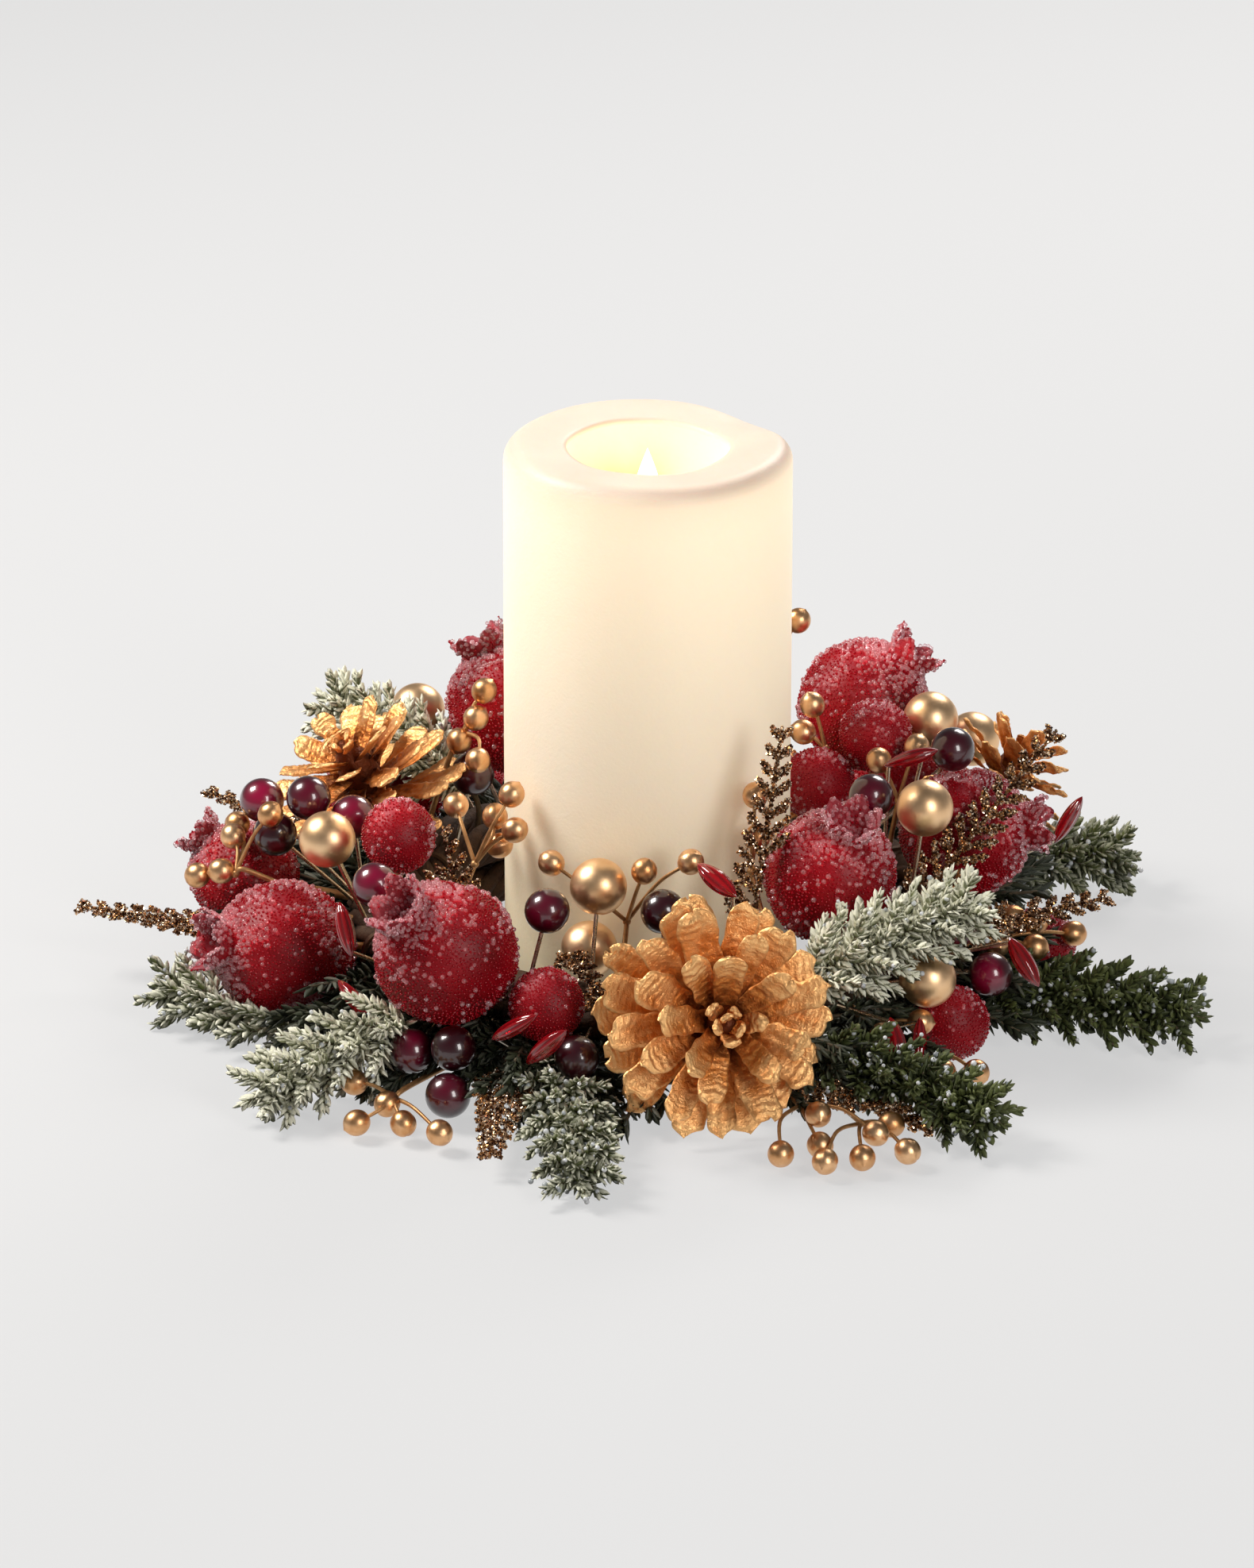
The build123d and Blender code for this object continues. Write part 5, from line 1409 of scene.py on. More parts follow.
@dataclass
class RoundBerries:
    """Glossy berries and balls with a small hole where their wire goes in."""

    node: str
    name: str
    finish: Finish
    slot: str
    rows: int = 26
    columns: int = 34

    def build(self) -> None:
        """Makes one ball for each solid of the node."""
        shape = Shape()
        for n, solid in enumerate(solids_of(self.node)):
            points, faces = ball_grid(self.rows, self.columns)
            dimple = 1 - 0.10 * np.exp(-((1 - points[:, 2]) / 0.012))
            matrix = turned_frame(unit(hub_of(solid.centre) - solid.centre), float(n))
            shape.add(points * dimple[:, None] @ matrix.T * solid.radius + solid.centre, faces)
        place_piece(shape, self.name, self.finish, [self.node])


@dataclass
class GoldBerries:
    """Gold berries with creased skins and a small pointed end, on forked stems."""

    berry_node: str = "gold_berries"
    stem_node: str = "spray_stems"
    creases: int = 3
    stem_radius: float = 1.0 * MM
    twig_radius: float = 0.62 * MM
    touch: float = 1.3 * MM
    clear: float = 3 * MM
    joint: float = 6 * MM

    def runs(self, solid: Solid, centres: Array) -> tuple[Array, list[Array]]:
        """Finds which berries a stem carries and the points that it runs through.

        Args:
            solid: the stem.
            centres: centres of all berries.

        Returns:
            Numbers of its berries, and its points from the fork to the foot.
        """
        gaps = norm(solid.points[:, None] - centres[None], axis=2)
        mine = np.flatnonzero(gaps.min(0) < self.touch)
        rest = solid.points[gaps[:, mine].min(1) > self.clear]
        groups: list[list[Array]] = []
        for point in rest:
            for group in groups:
                if norm(np.mean(group, axis=0) - point) < self.joint:
                    group.append(point)
                    break
            else:
                groups.append([point])
        spots = [np.mean(group, axis=0) for group in groups]
        heart = centres[mine].mean(0)
        spots.sort(key=lambda spot: float(norm(spot - heart)))
        return mine, spots

    def add_stems(self, stems: Shape, centres: Array) -> Array:
        """Adds the bowed stems.

        Args:
            stems: the shape that takes them.
            centres: centres of all berries.

        Returns:
            The direction in which each berry's stem reaches it.
        """
        heading = np.tile(UP, (len(centres), 1))
        for solid in solids_of(self.stem_node):
            mine, spots = self.runs(solid, centres)
            if not spots:
                continue
            fork = spots[0]
            stems.add_stem(spots[::-1], 22, self.stem_radius * 1.1, self.stem_radius * 0.9, 8)
            for m in mine:
                rng = seeded(int(m) + 7)
                reach = centres[m] - fork
                bow = (side_of(unit(reach))[0] * rng.normal() * 0.10 + UP * 0.10) * norm(reach)
                line = stems.add_stem([fork, fork + reach * 0.5 + bow, centres[m]], 14,
                                      self.stem_radius * 0.8, self.twig_radius, 7)
                heading[m] = unit(line[-1] - line[-2])
            knot, faces = icosphere(1)
            stems.add(knot * self.stem_radius * 1.5 + fork, faces)
        return heading

    def creased(self, points: Array, rng: Random) -> Array:
        """Berry of radius one with creases, a pointed end and a dimple at its stem."""
        turn = np.arctan2(points[:, 1], points[:, 0])
        flank = np.sqrt(np.clip(1 - points[:, 2] ** 2, 0, 1))
        groove = np.abs(np.sin(self.creases / 2 * (turn + rng.uniform(0, PHASE))))
        dent = 1 - 0.11 * flank * np.exp(-groove / 0.05)
        dent = dent - 0.02 * flank * np.exp(-np.abs(groove - 0.35) / 0.1)
        tip = 0.10 * np.exp(-(1 - points[:, 2]) / 0.010)
        dimple = 0.05 * np.exp(-(1 + points[:, 2]) / 0.02)
        return points * ((dent + tip - dimple)[:, None] * np.array((0.95, 0.95, 1.0)))

    def build(self) -> None:
        """Makes the berries and their stems."""
        solids = solids_of(self.berry_node)
        stems, berries = Shape(), Shape()
        heading = self.add_stems(stems, np.array([solid.centre for solid in solids]))
        points, faces = ball_grid(22, 30)
        for n, (solid, way) in enumerate(zip(solids, heading)):
            rng = seeded(n)
            berry = self.creased(points, rng)
            matrix = turned_frame(way, rng.uniform(0, PHASE))
            berries.add(berry @ matrix.T * solid.radius + solid.centre, faces)
        place_piece(stems, "berry_stems", STEM_GOLD, [self.stem_node])
        place_piece(berries, "gold_berry_skins", BERRY_GOLD, [self.berry_node])


@dataclass
class PetalBeads:
    """Long ribbed ruby beads with a small clear bead at one end."""

    node: str = "petal_beads"
    ribs: int = 8
    rows: int = 26
    columns: int = 48
    flatness: float = 0.78

    def build(self) -> None:
        """Makes each bead along its own axis."""
        shape = Shape()
        turn = np.linspace(0, math.tau, self.columns, endpoint=False)
        for n, solid in enumerate(solids_of(self.node)):
            middle = solid.points.mean(0)
            _, axes = np.linalg.eigh(np.cov((solid.points - middle).T))
            way = axes[:, 2]
            along = (solid.points - middle) @ way
            half = float(along.max() - along.min()) / 2
            out = norm(solid.points - middle - along[:, None] * way, axis=1).max()
            u = np.linspace(-1, 1, self.rows)
            girth = out * np.clip(1 - np.abs(u) ** 2.1, 0.02, 1) ** 0.75
            rib = 1 + 0.06 * np.cos(self.ribs * turn)
            flat = np.array((1.0, self.flatness, 1.0))
            local = round_axis(girth[:, None] * rib, turn, half * u[:, None]).reshape(-1, 3) * flat
            matrix = turned_frame(way, float(n))
            # The tag is 1 on the rib crests and 0 in the grooves, which take the painted shade.
            tag = np.tile(0.5 + 0.5 * np.cos(self.ribs * turn), self.rows)
            shape.add(local @ matrix.T + middle, grid_faces(self.rows, self.columns), tag)
        place_piece(shape, "ruby_petals", RUBY, [self.node])


def needle_shape() -> Pair:
    """A flat, blunt needle along +Z, of length one and half width one, with how far it bends to +X."""
    half_widths = (0.60, 1.0, 1.0, 0.80, 0.10)
    corners = ((1, 0), (0, 0.40), (-1, 0), (0, -0.40))
    points = [(a * wide, b * wide, share, share ** 2)
              for share, wide in zip(np.linspace(0, 1, len(half_widths)), half_widths) for a, b in corners]
    return np.array(points), grid_faces(len(half_widths), len(corners))


@dataclass
class PineSprig:
    """Bushy sprig: side shoots round a twig, thick with short flat needles, frost and white beads."""

    node: str
    seed: int
    frost: float = 0.5
    beads: int = 200
    square: float = 0.7 * MM
    lean: float = math.radians(50)
    spacing: float = 0.58 * MM
    needle_length: float = 7.8 * MM
    needle_width: float = 1.20 * MM
    twig_radius: float = 1.3 * MM
    tip_run: float = 14 * MM
    bead_radius: float = 0.92 * MM
    table_gap: float = 0.4 * MM

    def needles(self, feet: Array, tips: Array, rng: Random) -> tuple[Array, Array, Array]:
        """Where needles start along the shoots, which way they point and how long they are.

        Args:
            feet: the shoots' feet.
            tips: the shoots' tips.
            rng: source of irregularity.

        Returns:
            Starts, unit directions and lengths.
        """
        starts, ways, lengths = [], [], []
        for foot, tip in zip(feet, tips):
            reach = float(norm(tip - foot))
            count = max(int(reach / self.spacing), 6)
            share = (np.arange(count) + rng.random(count)) / count
            turn = np.arange(count) * GOLDEN_ANGLE + rng.uniform(0, PHASE)
            forward = unit(tip - foot)
            across = side_of(forward)[0]
            other = np.cross(forward, across)
            spread = np.cos(turn)[:, None] * across + np.sin(turn)[:, None] * other
            lean = np.radians(52 - 34 * share ** 2) + rng.normal(size=count) * 0.12
            starts.append(foot + (tip - foot) * (share * 0.92)[:, None])
            ways.append(np.cos(lean)[:, None] * forward + np.sin(lean)[:, None] * spread)
            lengths.append(self.needle_length * (1 - 0.40 * share) * rng.uniform(0.7, 1.05, count))
        return np.concatenate(starts), unit(np.concatenate(ways)), np.concatenate(lengths)

    def build(self) -> None:
        """Finds the twig in the solid and dresses it."""
        twig = TwigFinder(self.square, self.lean).find(solids_of(self.node)[0])
        rng = seeded(self.seed)
        feet = np.concatenate((twig.feet, twig.root[None], (twig.tip - twig.way * self.tip_run)[None]))
        tips = np.concatenate((twig.tips, twig.tip[None], twig.tip[None]))
        starts, ways, lengths = self.needles(feet, tips, rng)
        count = len(starts)
        table, faces = needle_shape()
        matrices = turned_frames(ways, rng.uniform(0, math.tau, count))
        widths = self.needle_width * rng.uniform(0.75, 1.2, count)
        bends = lengths * rng.uniform(0.0, 0.16, count)
        local = np.empty((count, len(table), 3))
        local[..., 0] = table[:, 0] * widths[:, None] + table[:, 3] * bends[:, None]
        local[..., 1] = table[:, 1] * widths[:, None]
        local[..., 2] = table[:, 2] * lengths[:, None]
        points = np.einsum("nij,nkj->nki", matrices, local) + starts[:, None]
        points[..., 2] = np.maximum(points[..., 2], self.table_gap)
        tag = np.clip(self.frost * (0.35 + 0.75 * np.tile(table[:, 2], count)), 0, 1)
        shape = Shape()
        shape.add_copies(points, faces, tag)
        place_piece(shape, self.node + "_needles", NEEDLES, [self.node])
        stem = Shape()
        thick = self.twig_radius
        stem.add_stem([hub_of(twig.root), twig.root, twig.tip], 24, thick, thick * 0.5, 7)
        for foot, tip in zip(twig.feet, twig.tips):
            stem.add_stem([foot, tip], 5, thick * 0.55, thick * 0.3, 5)
        place_piece(stem, self.node + "_twig", TWIG_BROWN)
        pick = rng.integers(0, count, self.beads)
        spot = rng.uniform(0.5, 1.0, self.beads)[:, None]
        places = starts[pick] + ways[pick] * lengths[pick][:, None] * spot
        places[:, 2] = np.maximum(places[:, 2], self.bead_radius + self.table_gap)
        radii = self.bead_radius * rng.uniform(0.65, 1.15, self.beads)
        beads = Shape()
        scatter_beads(beads, 1, places, radii, np.zeros(self.beads), self.seed)
        place_piece(beads, self.node + "_beads", NEEDLE_BEADS)


@dataclass
class Undergrowth:
    """Short twigs between the pieces, close to the vines, kept clear of everything round; their needles are
    partly foliage and painted near black as shade in the gaps.
    """

    seed: int = 77
    twigs: int = 400
    low_share: float = 0.9
    low_rise: tuple[float, float] = (-12, 22)
    high_rise: tuple[float, float] = (22, 150)
    slant: float = 0.45
    reach: float = 46 * MM
    inner_reach: float = 22 * MM
    highest: float = 30 * MM
    shortest: float = 20 * MM
    start_gap: float = 13 * MM
    root: float = 8 * MM
    probes: int = 20
    twig_radii: tuple[float, float] = (1.1 * MM, 0.5 * MM)
    twig_gap: float = 1.5 * MM
    needles: int = 56
    needle_length: float = 8 * MM
    needle_width: float = 1.2 * MM
    needle_gap: float = 0.8 * MM
    frost: float = 0.12
    candle_radius: float = 53 * MM
    table_gap: float = 0.6 * MM
    round_nodes: tuple[str, ...] = ("frosted_fruits", "gold_balls", "burgundy_berries", "gold_berries", *CONES)

    def obstacles(self) -> Pair:
        """Centres and radii of the round pieces, the cones and the pomegranates."""
        lumps = [(solid.centre, solid.radius) for node in self.round_nodes for solid in solids_of(node)]
        lumps += [fit_ball(solids_of(node)[0].points) for node in POMEGRANATES]
        centres, radii = zip(*lumps)
        return np.array(centres), np.array(radii) + self.needle_gap

    def clear(self, points: Array, centres: Array, radii: Array) -> Array:
        """Which points lie outside every obstacle, outside the candle and above the table."""
        gaps = norm(points[:, None] - centres[None], axis=2) - radii[None]
        free = gaps.min(1) > 0
        free &= np.hypot(points[:, 0], points[:, 1]) > self.candle_radius
        return free & (points[:, 2] > self.table_gap) & (points[:, 2] < self.highest)

    def add_needles(self, shape: Shape, rng: Random, start: Array, run: Array,
                    obstacles: Pair) -> None:
        """Adds the needles of one twig that meet nothing.

        Args:
            shape: the shape that takes them.
            rng: source of irregularity.
            start: where the twig starts.
            run: from its start to its tip.
            obstacles: what the needles stay clear of.
        """
        way = unit(run)
        share = np.sort(rng.random(self.needles))
        spots = start + share[:, None] * run
        lean = np.radians(55 - 30 * share) + rng.normal(size=self.needles) * 0.15
        around = turned_frames(np.tile(way, (self.needles, 1)), np.arange(self.needles) * GOLDEN_ANGLE)
        ways = np.cos(lean)[:, None] * way + np.sin(lean)[:, None] * around[:, :, 0]
        lengths = self.needle_length * rng.uniform(0.7, 1.1, self.needles)
        tips = ways * lengths[:, None]
        keep = self.clear(spots + tips, *obstacles) & self.clear(spots + tips * 0.5, *obstacles)
        count = int(keep.sum())
        widths = np.full(count, self.needle_width)
        frames = turned_frames(ways[keep], rng.uniform(0, PHASE, count))
        frames = frames * np.stack((widths, widths, lengths[keep]), -1)[:, None, :]
        table, faces = needle_shape()
        shape.scatter(table[:, :3], faces, frames, spots[keep], rng.uniform(0, self.frost, count))

    def build(self) -> None:
        """Grows each twig from the vines until it meets something."""
        centres, radii = self.obstacles()
        rng = seeded(self.seed)
        stems, needles = Shape(), Shape()
        last = self.probes - 1
        for _ in range(self.twigs):
            low = rng.random() < self.low_share
            turn = rng.uniform(0, math.tau)
            rise = math.radians(rng.uniform(*(self.low_rise if low else self.high_rise)))
            level = np.array((math.cos(turn), math.sin(turn), 0.0))
            along = np.array((-level[1], level[0], 0.0)) * rng.normal() * self.slant
            way = unit(level * math.cos(rise) + UP * math.sin(rise) + along)
            start = level * VINE_RADIUS + UP * VINE_HEIGHT + way * self.start_gap
            reach = self.reach if low else self.inner_reach
            probes = np.linspace(0, 1, self.probes)[:, None] * reach * way + start
            free = self.clear(probes, centres, radii + self.twig_gap)
            length = reach * (last if free.all() else np.argmin(free)) / last
            if length + self.start_gap < self.shortest:
                continue
            stems.add_stem([start - way * self.root, start + way * length], 6, *self.twig_radii, 5)
            self.add_needles(needles, rng, start, way * length, (centres, radii))
        place_piece(needles, "undergrowth_needles", SHADE_NEEDLES)
        place_piece(stems, "undergrowth_twigs", TWIG_BROWN)


@dataclass
class GlitterFerns:
    """Fern sprays whose leaflets are built up from glitter grains."""

    node: str = "glitter_ferns"
    square: float = 1.0 * MM
    lean: float = math.radians(42)
    grain: float = 0.56 * MM
    grain_step: float = 0.080 * MM
    leaf_radius: float = 1.9 * MM
    stem_radius: float = 0.9 * MM
    tip_radius: float = 0.3 * MM
    split: float = 5.5 * MM
    table_gap: float = 0.7 * MM

    def build(self) -> None:
        """Makes all ferns as one piece of grains and one of stems."""
        grains, stems = Shape(), Shape()
        points = np.array(((1, 0, 0), (-1, 0, 0), (0, 1, 0), (0, -1, 0), (0, 0, 1), (0, 0, -1)), float)
        faces = np.array(((0, 2, 4), (2, 1, 4), (1, 3, 4), (3, 0, 4),
                          (2, 0, 5), (1, 2, 5), (3, 1, 5), (0, 3, 5)))
        for n, solid in enumerate(solids_of(self.node)):
            twig = TwigFinder(self.square, self.lean).find(solid)
            rng = seeded(n + 300)
            feet, tips = self.shoots(twig, rng)
            for foot, tip in zip(feet, tips):
                stems.add_stem([foot, tip], 4, self.stem_radius, self.tip_radius, 5)
            spots = self.grain_places(feet, tips, rng)
            spots[:, 2] = np.maximum(spots[:, 2], self.table_gap)
            ways = random_ways(rng, len(spots))
            sizes = self.grain * rng.uniform(0.5, 1.25, len(spots))
            frames = turned_frames(ways, rng.uniform(0, PHASE, len(spots))) * sizes[:, None, None]
            grains.scatter(points, faces, frames, spots)
            stems.add_stem([hub_of(twig.root), twig.root], 8, self.stem_radius, self.stem_radius, 6)
        place_piece(grains, "fern_glitter", GLITTER, [self.node], smooth=False)
        place_piece(stems, "fern_stems", FERN_CORE)

    def shoots(self, twig: Twig, rng: Random) -> Pair:
        """The stem, its leaflets and short splits of the leaflets.

        Args:
            twig: the fern's line and leaflets.
            rng: source of irregularity.

        Returns:
            Feet and tips.
        """
        feet, tips = [twig.root], [twig.tip]
        for foot, tip in zip(twig.feet, twig.tips):
            feet.append(foot)
            tips.append(tip)
            reach = norm(tip - foot)
            for share in (0.40, 0.62, 0.82):
                spot = foot + (tip - foot) * share
                for hand in (-1, 1):
                    way = unit(tip - foot) + hand * 0.75 * twig.way + rng.normal(size=3) * 0.22
                    feet.append(spot)
                    tips.append(spot + unit(way) * min(self.split, reach * 0.4) * (1.15 - share))
        return np.array(feet), np.array(tips)

    def grain_places(self, feet: Array, tips: Array, rng: Random) -> Array:
        """Places of the grains along the shoots.

        Args:
            feet: feet of the shoots.
            tips: tips of the shoots.
            rng: source of irregularity.

        Returns:
            One place per grain.
        """
        found = []
        for foot, tip in zip(feet, tips):
            steps = int(norm(tip - foot) / self.grain_step)
            u = rng.random(steps)
            ways = random_ways(rng, steps)
            thick = self.leaf_radius * (1 - 0.75 * u) * rng.uniform(0.35, 1.0, steps)
            found.append(foot + u[:, None] * (tip - foot) + ways * thick[:, None])
        return np.concatenate(found)


@dataclass
class VineBundle:
    """Four hoops, each twisted from several vines, with a few loose ends."""

    hoops: tuple[str, ...] = ("vine_hoop_inner_lower", "vine_hoop_outer_lower",
                              "vine_hoop_inner_upper", "vine_hoop_outer_upper")
    strands: int = 5
    segments: int = 220
    sides: int = 9
    twists: int = 9

    def build(self) -> None:
        """Replaces each hoop by twisted vines in the same space."""
        for n, node in enumerate(self.hoops):
            low, high = (np.array(corner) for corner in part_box(node))
            tube_radius = (high[2] - low[2]) / 2
            ring_radius = (high[0] - low[0]) / 2 - tube_radius
            middle = (low[2] + high[2]) / 2
            shape = Shape()
            for strand in range(self.strands):
                self.add_strand(shape, n * 10 + strand, ring_radius, tube_radius, middle, strand)
            place_piece(shape, node + "_vines", BARK, [node])

    def add_strand(self, shape: Shape, seed: int, ring_radius: float, tube_radius: float, middle: float,
                   strand: int) -> None:
        """Adds one vine that winds round inside a hoop's space.

        Args:
            shape: the shape that takes it.
            seed: picks its unevenness.
            ring_radius: radius of the hoop's middle line.
            tube_radius: half the hoop's thickness.
            middle: height of the hoop's middle line.
            strand: which of the hoop's vines it is.
        """
        turn = np.linspace(0, math.tau, self.segments, endpoint=False)
        thick = tube_radius * 0.40
        wind = self.twists * turn + math.tau * strand / self.strands
        rng = seeded(seed)
        slow, quick = (np.sin(waves * turn + rng.uniform(0, PHASE)) for waves in (5, 13))
        wobble = 0.10 * slow + 0.06 * quick
        reach = (tube_radius - thick) * (0.92 + wobble * 0.5)
        out, up = ring_radius + reach * np.cos(wind), middle + reach * np.sin(wind)
        line = round_axis(out, turn, up)
        ways = unit(np.roll(line, -1, 0) - np.roll(line, 1, 0))
        level = round_axis(1.0, turn, 0.0)
        across = unit(level - ways * (level * ways).sum(1)[:, None])
        around = np.linspace(0, math.tau, self.sides, endpoint=False)
        radii = thick * (1 + 0.12 * np.sin(21 * turn + rng.uniform(0, PHASE)) * rng.uniform(0.4, 1))
        ring = circles(across, np.cross(ways, across), self.sides)
        bark = 1 + 0.10 * np.cos(4 * around)[None, :]
        points = line[:, None] + ring * (radii[:, None] * bark)[..., None]
        grid = grid_faces(self.segments + 1, self.sides)
        shape.add(points.reshape(-1, 3), grid % (self.segments * self.sides))


@dataclass
class WaxPillar:
    """The wax: straight sides, a soft uneven rim with a melted dip, and the bowl."""

    node: str = "wax_shell"
    columns: int = 160
    dip_turn: float = math.radians(40)
    dip_depth: float = 4.8 * MM
    mouth: float = 29.0 * MM
    floor_radius: float = 15.0 * MM
    floor_drop: float = 26.0 * MM
    wall: float = 9.5 * MM
    hole: float = 12.3 * MM
    roof_drop: float = 34.7 * MM
    base_hole: float = 47.6 * MM
    base_step: float = 4.0 * MM
    lip: float = 1.6 * MM
    shoulder: float = 6 * MM
    shoulder_drop: float = 7 * MM
    foot_lift: float = 1.2 * MM
    wander: float = 0.7 * MM
    bulge: float = 0.25 * MM

    def profile(self, radius: float, top: float) -> list[Place]:
        """Outline of the wax from the bowl's hole, over the rim and down, then up inside.

        Args:
            radius: outside radius.
            top: height of the rim.

        Returns:
            Radius, height and how much each point follows the rim's unevenness.
        """
        floor = top - self.floor_drop
        points = [(self.hole, floor, 0.0), (self.floor_radius * 0.93, floor, 0.0)]
        for share in np.linspace(0.05, 1, 18):
            angle = share * math.pi / 2
            swing = math.sin(angle) ** 0.85
            points.append((self.floor_radius + (self.mouth - self.floor_radius) * swing,
                           floor + (self.floor_drop - self.lip) * (1 - math.cos(angle)) ** 0.9, share))
        for share in np.linspace(0.12, 1, 9):
            points.append((self.mouth + (radius - self.shoulder - self.mouth) * share,
                           top - self.lip * (1 - share) ** 2, 1.0))
        for share in np.linspace(0.1, 1, 10):
            angle = share * math.pi / 2
            points.append((radius - self.shoulder * (1 - math.sin(angle)),
                           top - self.shoulder_drop * (1 - math.cos(angle)), 1 - share * 0.4))
        for share in np.linspace(0.04, 1, 26):
            height = (top - self.shoulder_drop) * (1 - share) + self.foot_lift * share
            points.append((radius, height, 0.6 * (1 - share) ** 3))
        cavity = radius - self.wall
        points += [(radius - 0.6 * MM, 0.3 * MM, 0.0), (radius - 1.5 * MM, 0.0, 0.0),
                   (self.base_hole, 0.0, 0.0), (self.base_hole, self.base_step, 0.0),
                   (cavity, self.base_step, 0.0), (cavity, top - self.roof_drop, 0.0),
                   (self.hole, top - self.roof_drop, 0.0)]
        return points

    def build(self) -> None:
        """Turns the outline and bends the rim."""
        low, high = (np.array(corner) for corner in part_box(self.node))
        radius, top = (high[0] - low[0]) / 2, high[2]
        outline = np.array(self.profile(radius, top))
        turn = np.linspace(0, math.tau, self.columns, endpoint=False)
        out, up, follow = outline.T[..., None]
        gap = (turn - self.dip_turn + math.pi) % math.tau - math.pi
        outward = np.clip((out - self.mouth * 0.9) / (radius - self.mouth * 0.9), 0, 1)
        dip = self.dip_depth * np.exp(-(gap / 0.42) ** 2) * follow * (0.35 + 0.65 * outward)
        wander = self.wander * (np.sin(2 * turn + 1) + np.sin(5 * turn + 4) * 0.5 - 1.5) * follow * 0.6
        up = up - dip + wander
        out = out + self.bulge * np.sin(3 * turn + 2) * follow - self.bulge * follow
        points = round_axis(out, turn, up).reshape(-1, 3)
        rows = len(outline)
        faces = grid_faces(rows + 1, self.columns) % (rows * self.columns)
        shape = Shape()
        shape.add(points, faces[:, ::-1])
        place_piece(shape, "wax_pillar", WAX, [self.node], Body.CANDLE)


@dataclass(frozen=True)
class KeptNodes:
    """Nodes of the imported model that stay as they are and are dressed."""

    finishes: dict[str, Finish]

    def build(self) -> None:
        """Dresses each node."""
        for node, finish in self.finishes.items():
            dress_node(node, finish)


CANDLE_WORKS = KeptNodes({
    "core_housing": HOUSING, "base_plate": HOUSING, "battery_door": HOUSING, "well_cap": HOUSING,
    "switch_body": CHIP, "switch_knob": CHIP, "light_tray": HOUSING, "flame_collar": HOUSING,
    "base_screws": STEEL, "door_contact": STEEL, "top_contacts": STEEL, "pivot_wire": STEEL,
    "tail_magnet": STEEL, "batteries": CELL, "circuit_board": BOARD, "timer_chip": CHIP,
    "capacitor": CAN, "lead_wires": LEAD, "drive_coil": COPPER, "flame_led": LAMP, "flame_leaf": FLAME,
})
RING_WIRES = KeptNodes({"tie_bands": BROWN_TIE, "fruit_stems": STEM_GOLD, "berry_wires": TWIST_WIRE})


# Stage

@dataclass(frozen=True)
class Softbox:
    """Rectangular lamp aimed at the object."""

    name: str
    place: Place
    size: tuple[float, float]
    power: float
    colour: Colour
    target: Place = (0.0, 0.0, 0.08)

    def build(self) -> None:
        """Adds the lamp."""
        data = bpy.data.lights.new(self.name, "AREA")
        data.shape = "RECTANGLE"
        data.size, data.size_y = self.size
        data.energy = self.power
        data.color = self.colour
        lamp = bpy.data.objects.new(self.name, data)
        lamp.location = self.place
        aim = np.array(self.target) - np.array(self.place)
        flat = math.hypot(aim[0], aim[1])
        lamp.rotation_euler = (math.atan2(flat, -aim[2]), 0, math.atan2(aim[1], aim[0]) - math.pi / 2)
        put(lamp)


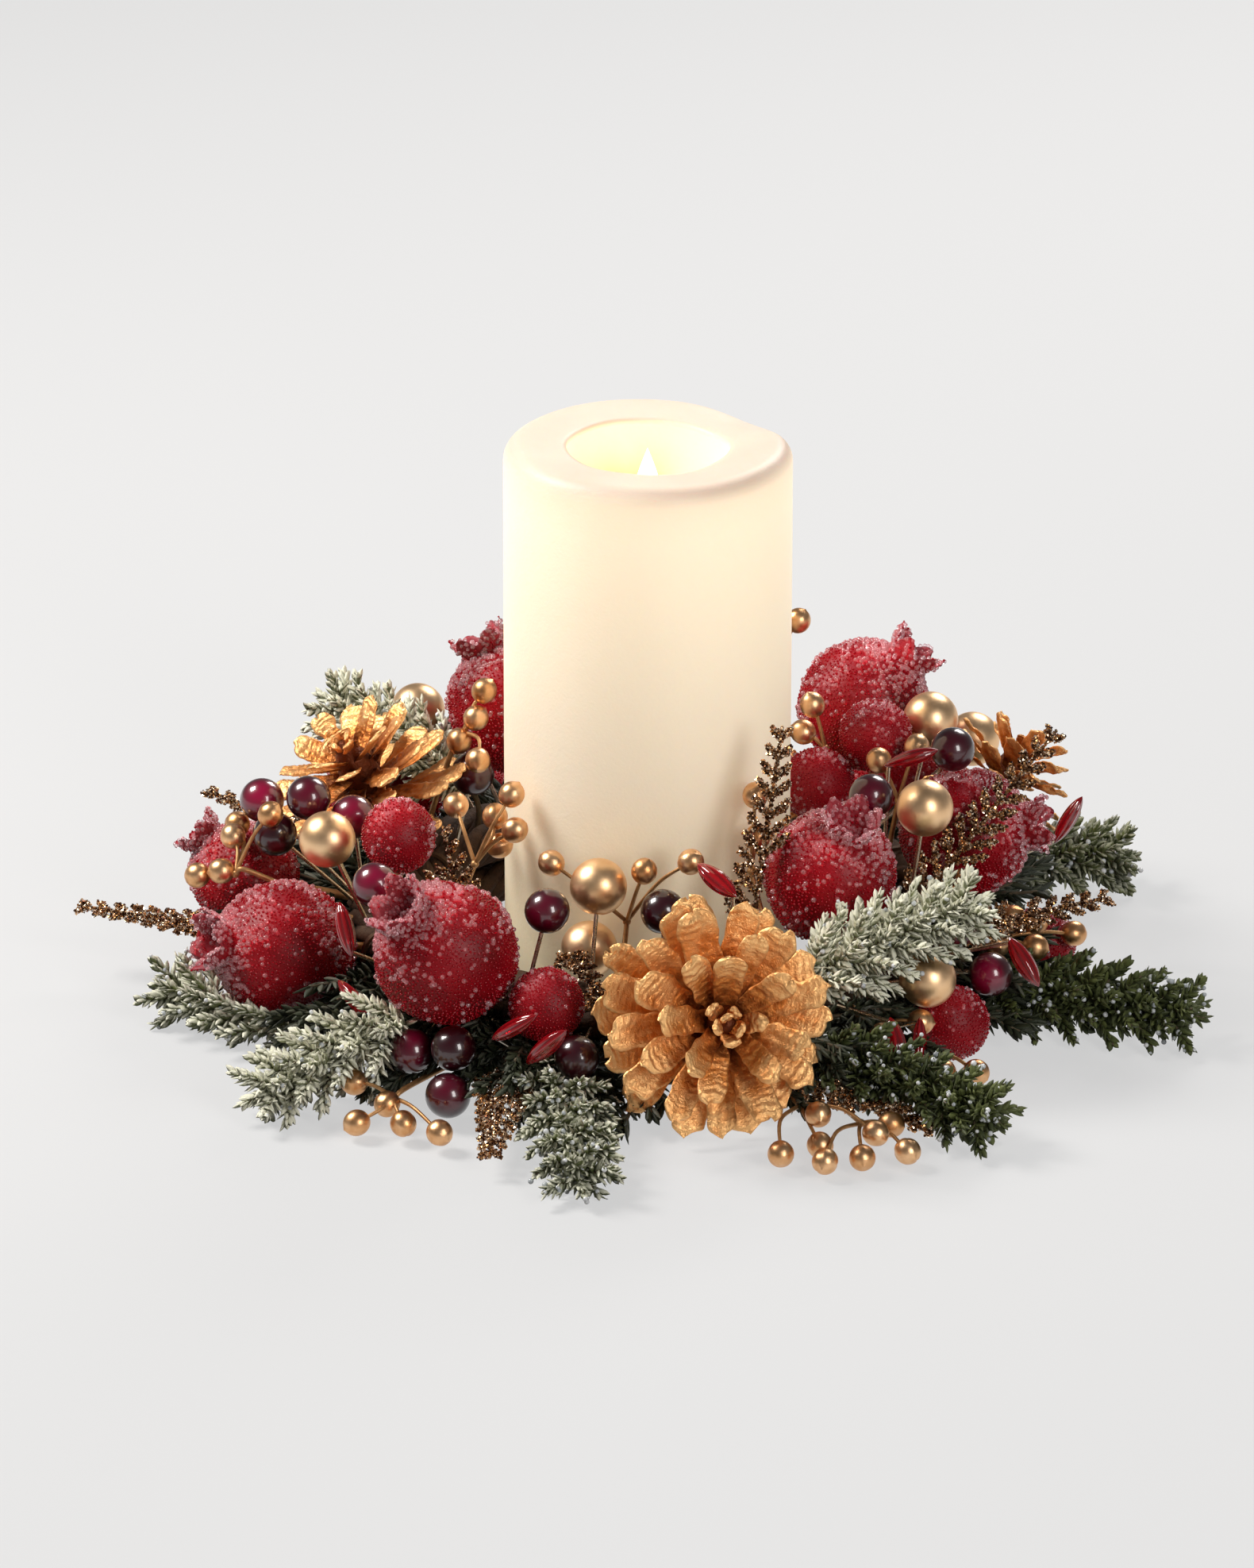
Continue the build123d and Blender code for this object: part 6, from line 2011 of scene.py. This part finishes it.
@dataclass
class Studio:
    """Camera, floor, world and lamps."""

    distance: float = 3.0
    elevation: float = math.radians(22.1)
    target: Place = (-0.0072, 0.0, 0.0736)
    focal_pixels: float = 10650.0
    frame_height: int = 1975
    sensor: float = 36.0
    view_reach: float = 50.0
    floor_size: float = 8.0
    floor_glow: float = 0.835 * 0.66
    world_stops: tuple[tuple[float, Colour], ...] = (
        (0.0, (0.26, 0.26, 0.26)), (0.15, (0.20, 0.197, 0.195)), (0.7, (0.09, 0.09, 0.095)))
    lamps: tuple[Softbox, ...] = (
        Softbox("key", (-1.1, 0.2, 1.3), (0.6, 0.6), 30.0, (1.0, 0.97, 0.93)),
        Softbox("front", (0.9, -1.5, 0.9), (0.5, 0.9), 14.0, (1.0, 0.98, 0.96)),
        Softbox("back", (0.6, 1.2, 1.0), (0.6, 0.6), 12.0, (1.0, 0.97, 0.94)))
    flame_power: float = 0.003
    flame_size: float = 0.004
    flame_colour: Colour = (1.0, 0.62, 0.28)
    flame_place: Place = (0.0, -0.006, 0.196)

    def camera(self) -> None:
        """Sets the camera at the photograph's angle."""
        data = bpy.data.cameras.new("camera")
        data.sensor_width = self.sensor
        data.lens = self.focal_pixels / self.frame_height * self.sensor
        data.clip_end = self.view_reach
        camera = bpy.data.objects.new("camera", data)
        back = (0.0, -math.cos(self.elevation), math.sin(self.elevation))
        camera.location = [t + self.distance * b for t, b in zip(self.target, back)]
        camera.rotation_euler = (math.pi / 2 - self.elevation, 0, 0)
        put(camera)
        bpy.context.scene.camera = camera

    def floor(self) -> None:
        """Adds a wide pale floor that keeps the object's shadow."""
        shape = Shape()
        size = self.floor_size
        shape.add(np.array(((-size, -size, 0), (size, -size, 0), (size, size, 0), (-size, size, 0))),
                  np.array(((0, 1, 2, 3),)))
        floor = bpy.data.objects.new("floor", shape.mesh("floor"))
        put(floor)
        material = bpy.data.materials.new("pale_floor")
        material.use_nodes = True
        graph = Graph(material.node_tree)
        material.node_tree.nodes.remove(material.node_tree.nodes["Principled BSDF"])
        seen = graph.add("LightPath").outputs
        mirrored = graph.math("MAXIMUM", seen["Is Glossy Ray"], seen["Is Transmission Ray"])
        shown = graph.math("MAXIMUM", seen["Is Camera Ray"], mirrored)
        glow = graph.add("Emission", {"Color": (1.0, 1.0, 1.0), "Strength": self.floor_glow})
        matt = graph.add("BsdfDiffuse", {"Color": (0.22, 0.22, 0.22)})
        plain = graph.add("BsdfDiffuse", {"Color": (0.09, 0.08, 0.075)})
        both = graph.add("AddShader", {0: glow.outputs[0], 1: matt.outputs[0]})
        mixed = graph.add("MixShader", {0: shown, 1: plain.outputs[0], 2: both.outputs[0]})
        graph.fill(material.node_tree.nodes["Material Output"], {"Surface": mixed.outputs[0]})
        floor.data.materials.append(material)

    def world(self) -> None:
        """Sets a plain world, pale at the horizon and dimmer overhead."""
        world = bpy.data.worlds.new("studio")
        bpy.context.scene.world = world
        world.use_nodes = True
        graph = Graph(world.node_tree)
        way = graph.add("TexCoord").outputs["Generated"]
        height = graph.add("SeparateXYZ", {"Vector": way}).outputs["Z"]
        colour = graph.steps(graph.spread(height, 0.0, 1.0), self.world_stops)
        graph.fill(world.node_tree.nodes["Background"], {"Color": colour, "Strength": 1.0})

    def flame_light(self) -> None:
        """Adds the small warm light of the flame."""
        data = bpy.data.lights.new("flame_light", "POINT")
        data.energy = self.flame_power
        data.color = self.flame_colour
        data.shadow_soft_size = self.flame_size
        lamp = bpy.data.objects.new("flame_light", data)
        lamp.location = self.flame_place
        put(lamp)

    def build(self) -> None:
        """Sets the whole stage."""
        bpy.context.scene.view_settings.view_transform = "Standard"
        self.camera()
        self.floor()
        self.world()
        for lamp in self.lamps:
            lamp.build()
        self.flame_light()


def main() -> None:
    """Builds the stage and every piece in order."""
    logging.basicConfig(level=logging.INFO, format="%(message)s")
    Studio().build()
    WaxPillar().build()
    CANDLE_WORKS.build()
    VineBundle().build()
    RING_WIRES.build()
    for n, node in enumerate(POMEGRANATES, 1):
        Pomegranate(node, n).build()
    for n, node in enumerate(CONES, 1):
        PineCone(node, n).build()
    FrostedFruits().build()
    RoundBerries("gold_balls", "gold_ball_skins", SATIN_GOLD, "gold").build()
    RoundBerries("burgundy_berries", "burgundy_skins", BURGUNDY, "burgundy").build()
    GoldBerries().build()
    PetalBeads().build()
    for n, (frost, beads) in enumerate(SPRIG_LOOKS, 1):
        PineSprig(f"pine_sprig_{n}", n, frost, beads).build()
    GlitterFerns().build()
    Undergrowth().build()
    bpy.context.view_layer.update()


if __name__ == "__main__":
    main()
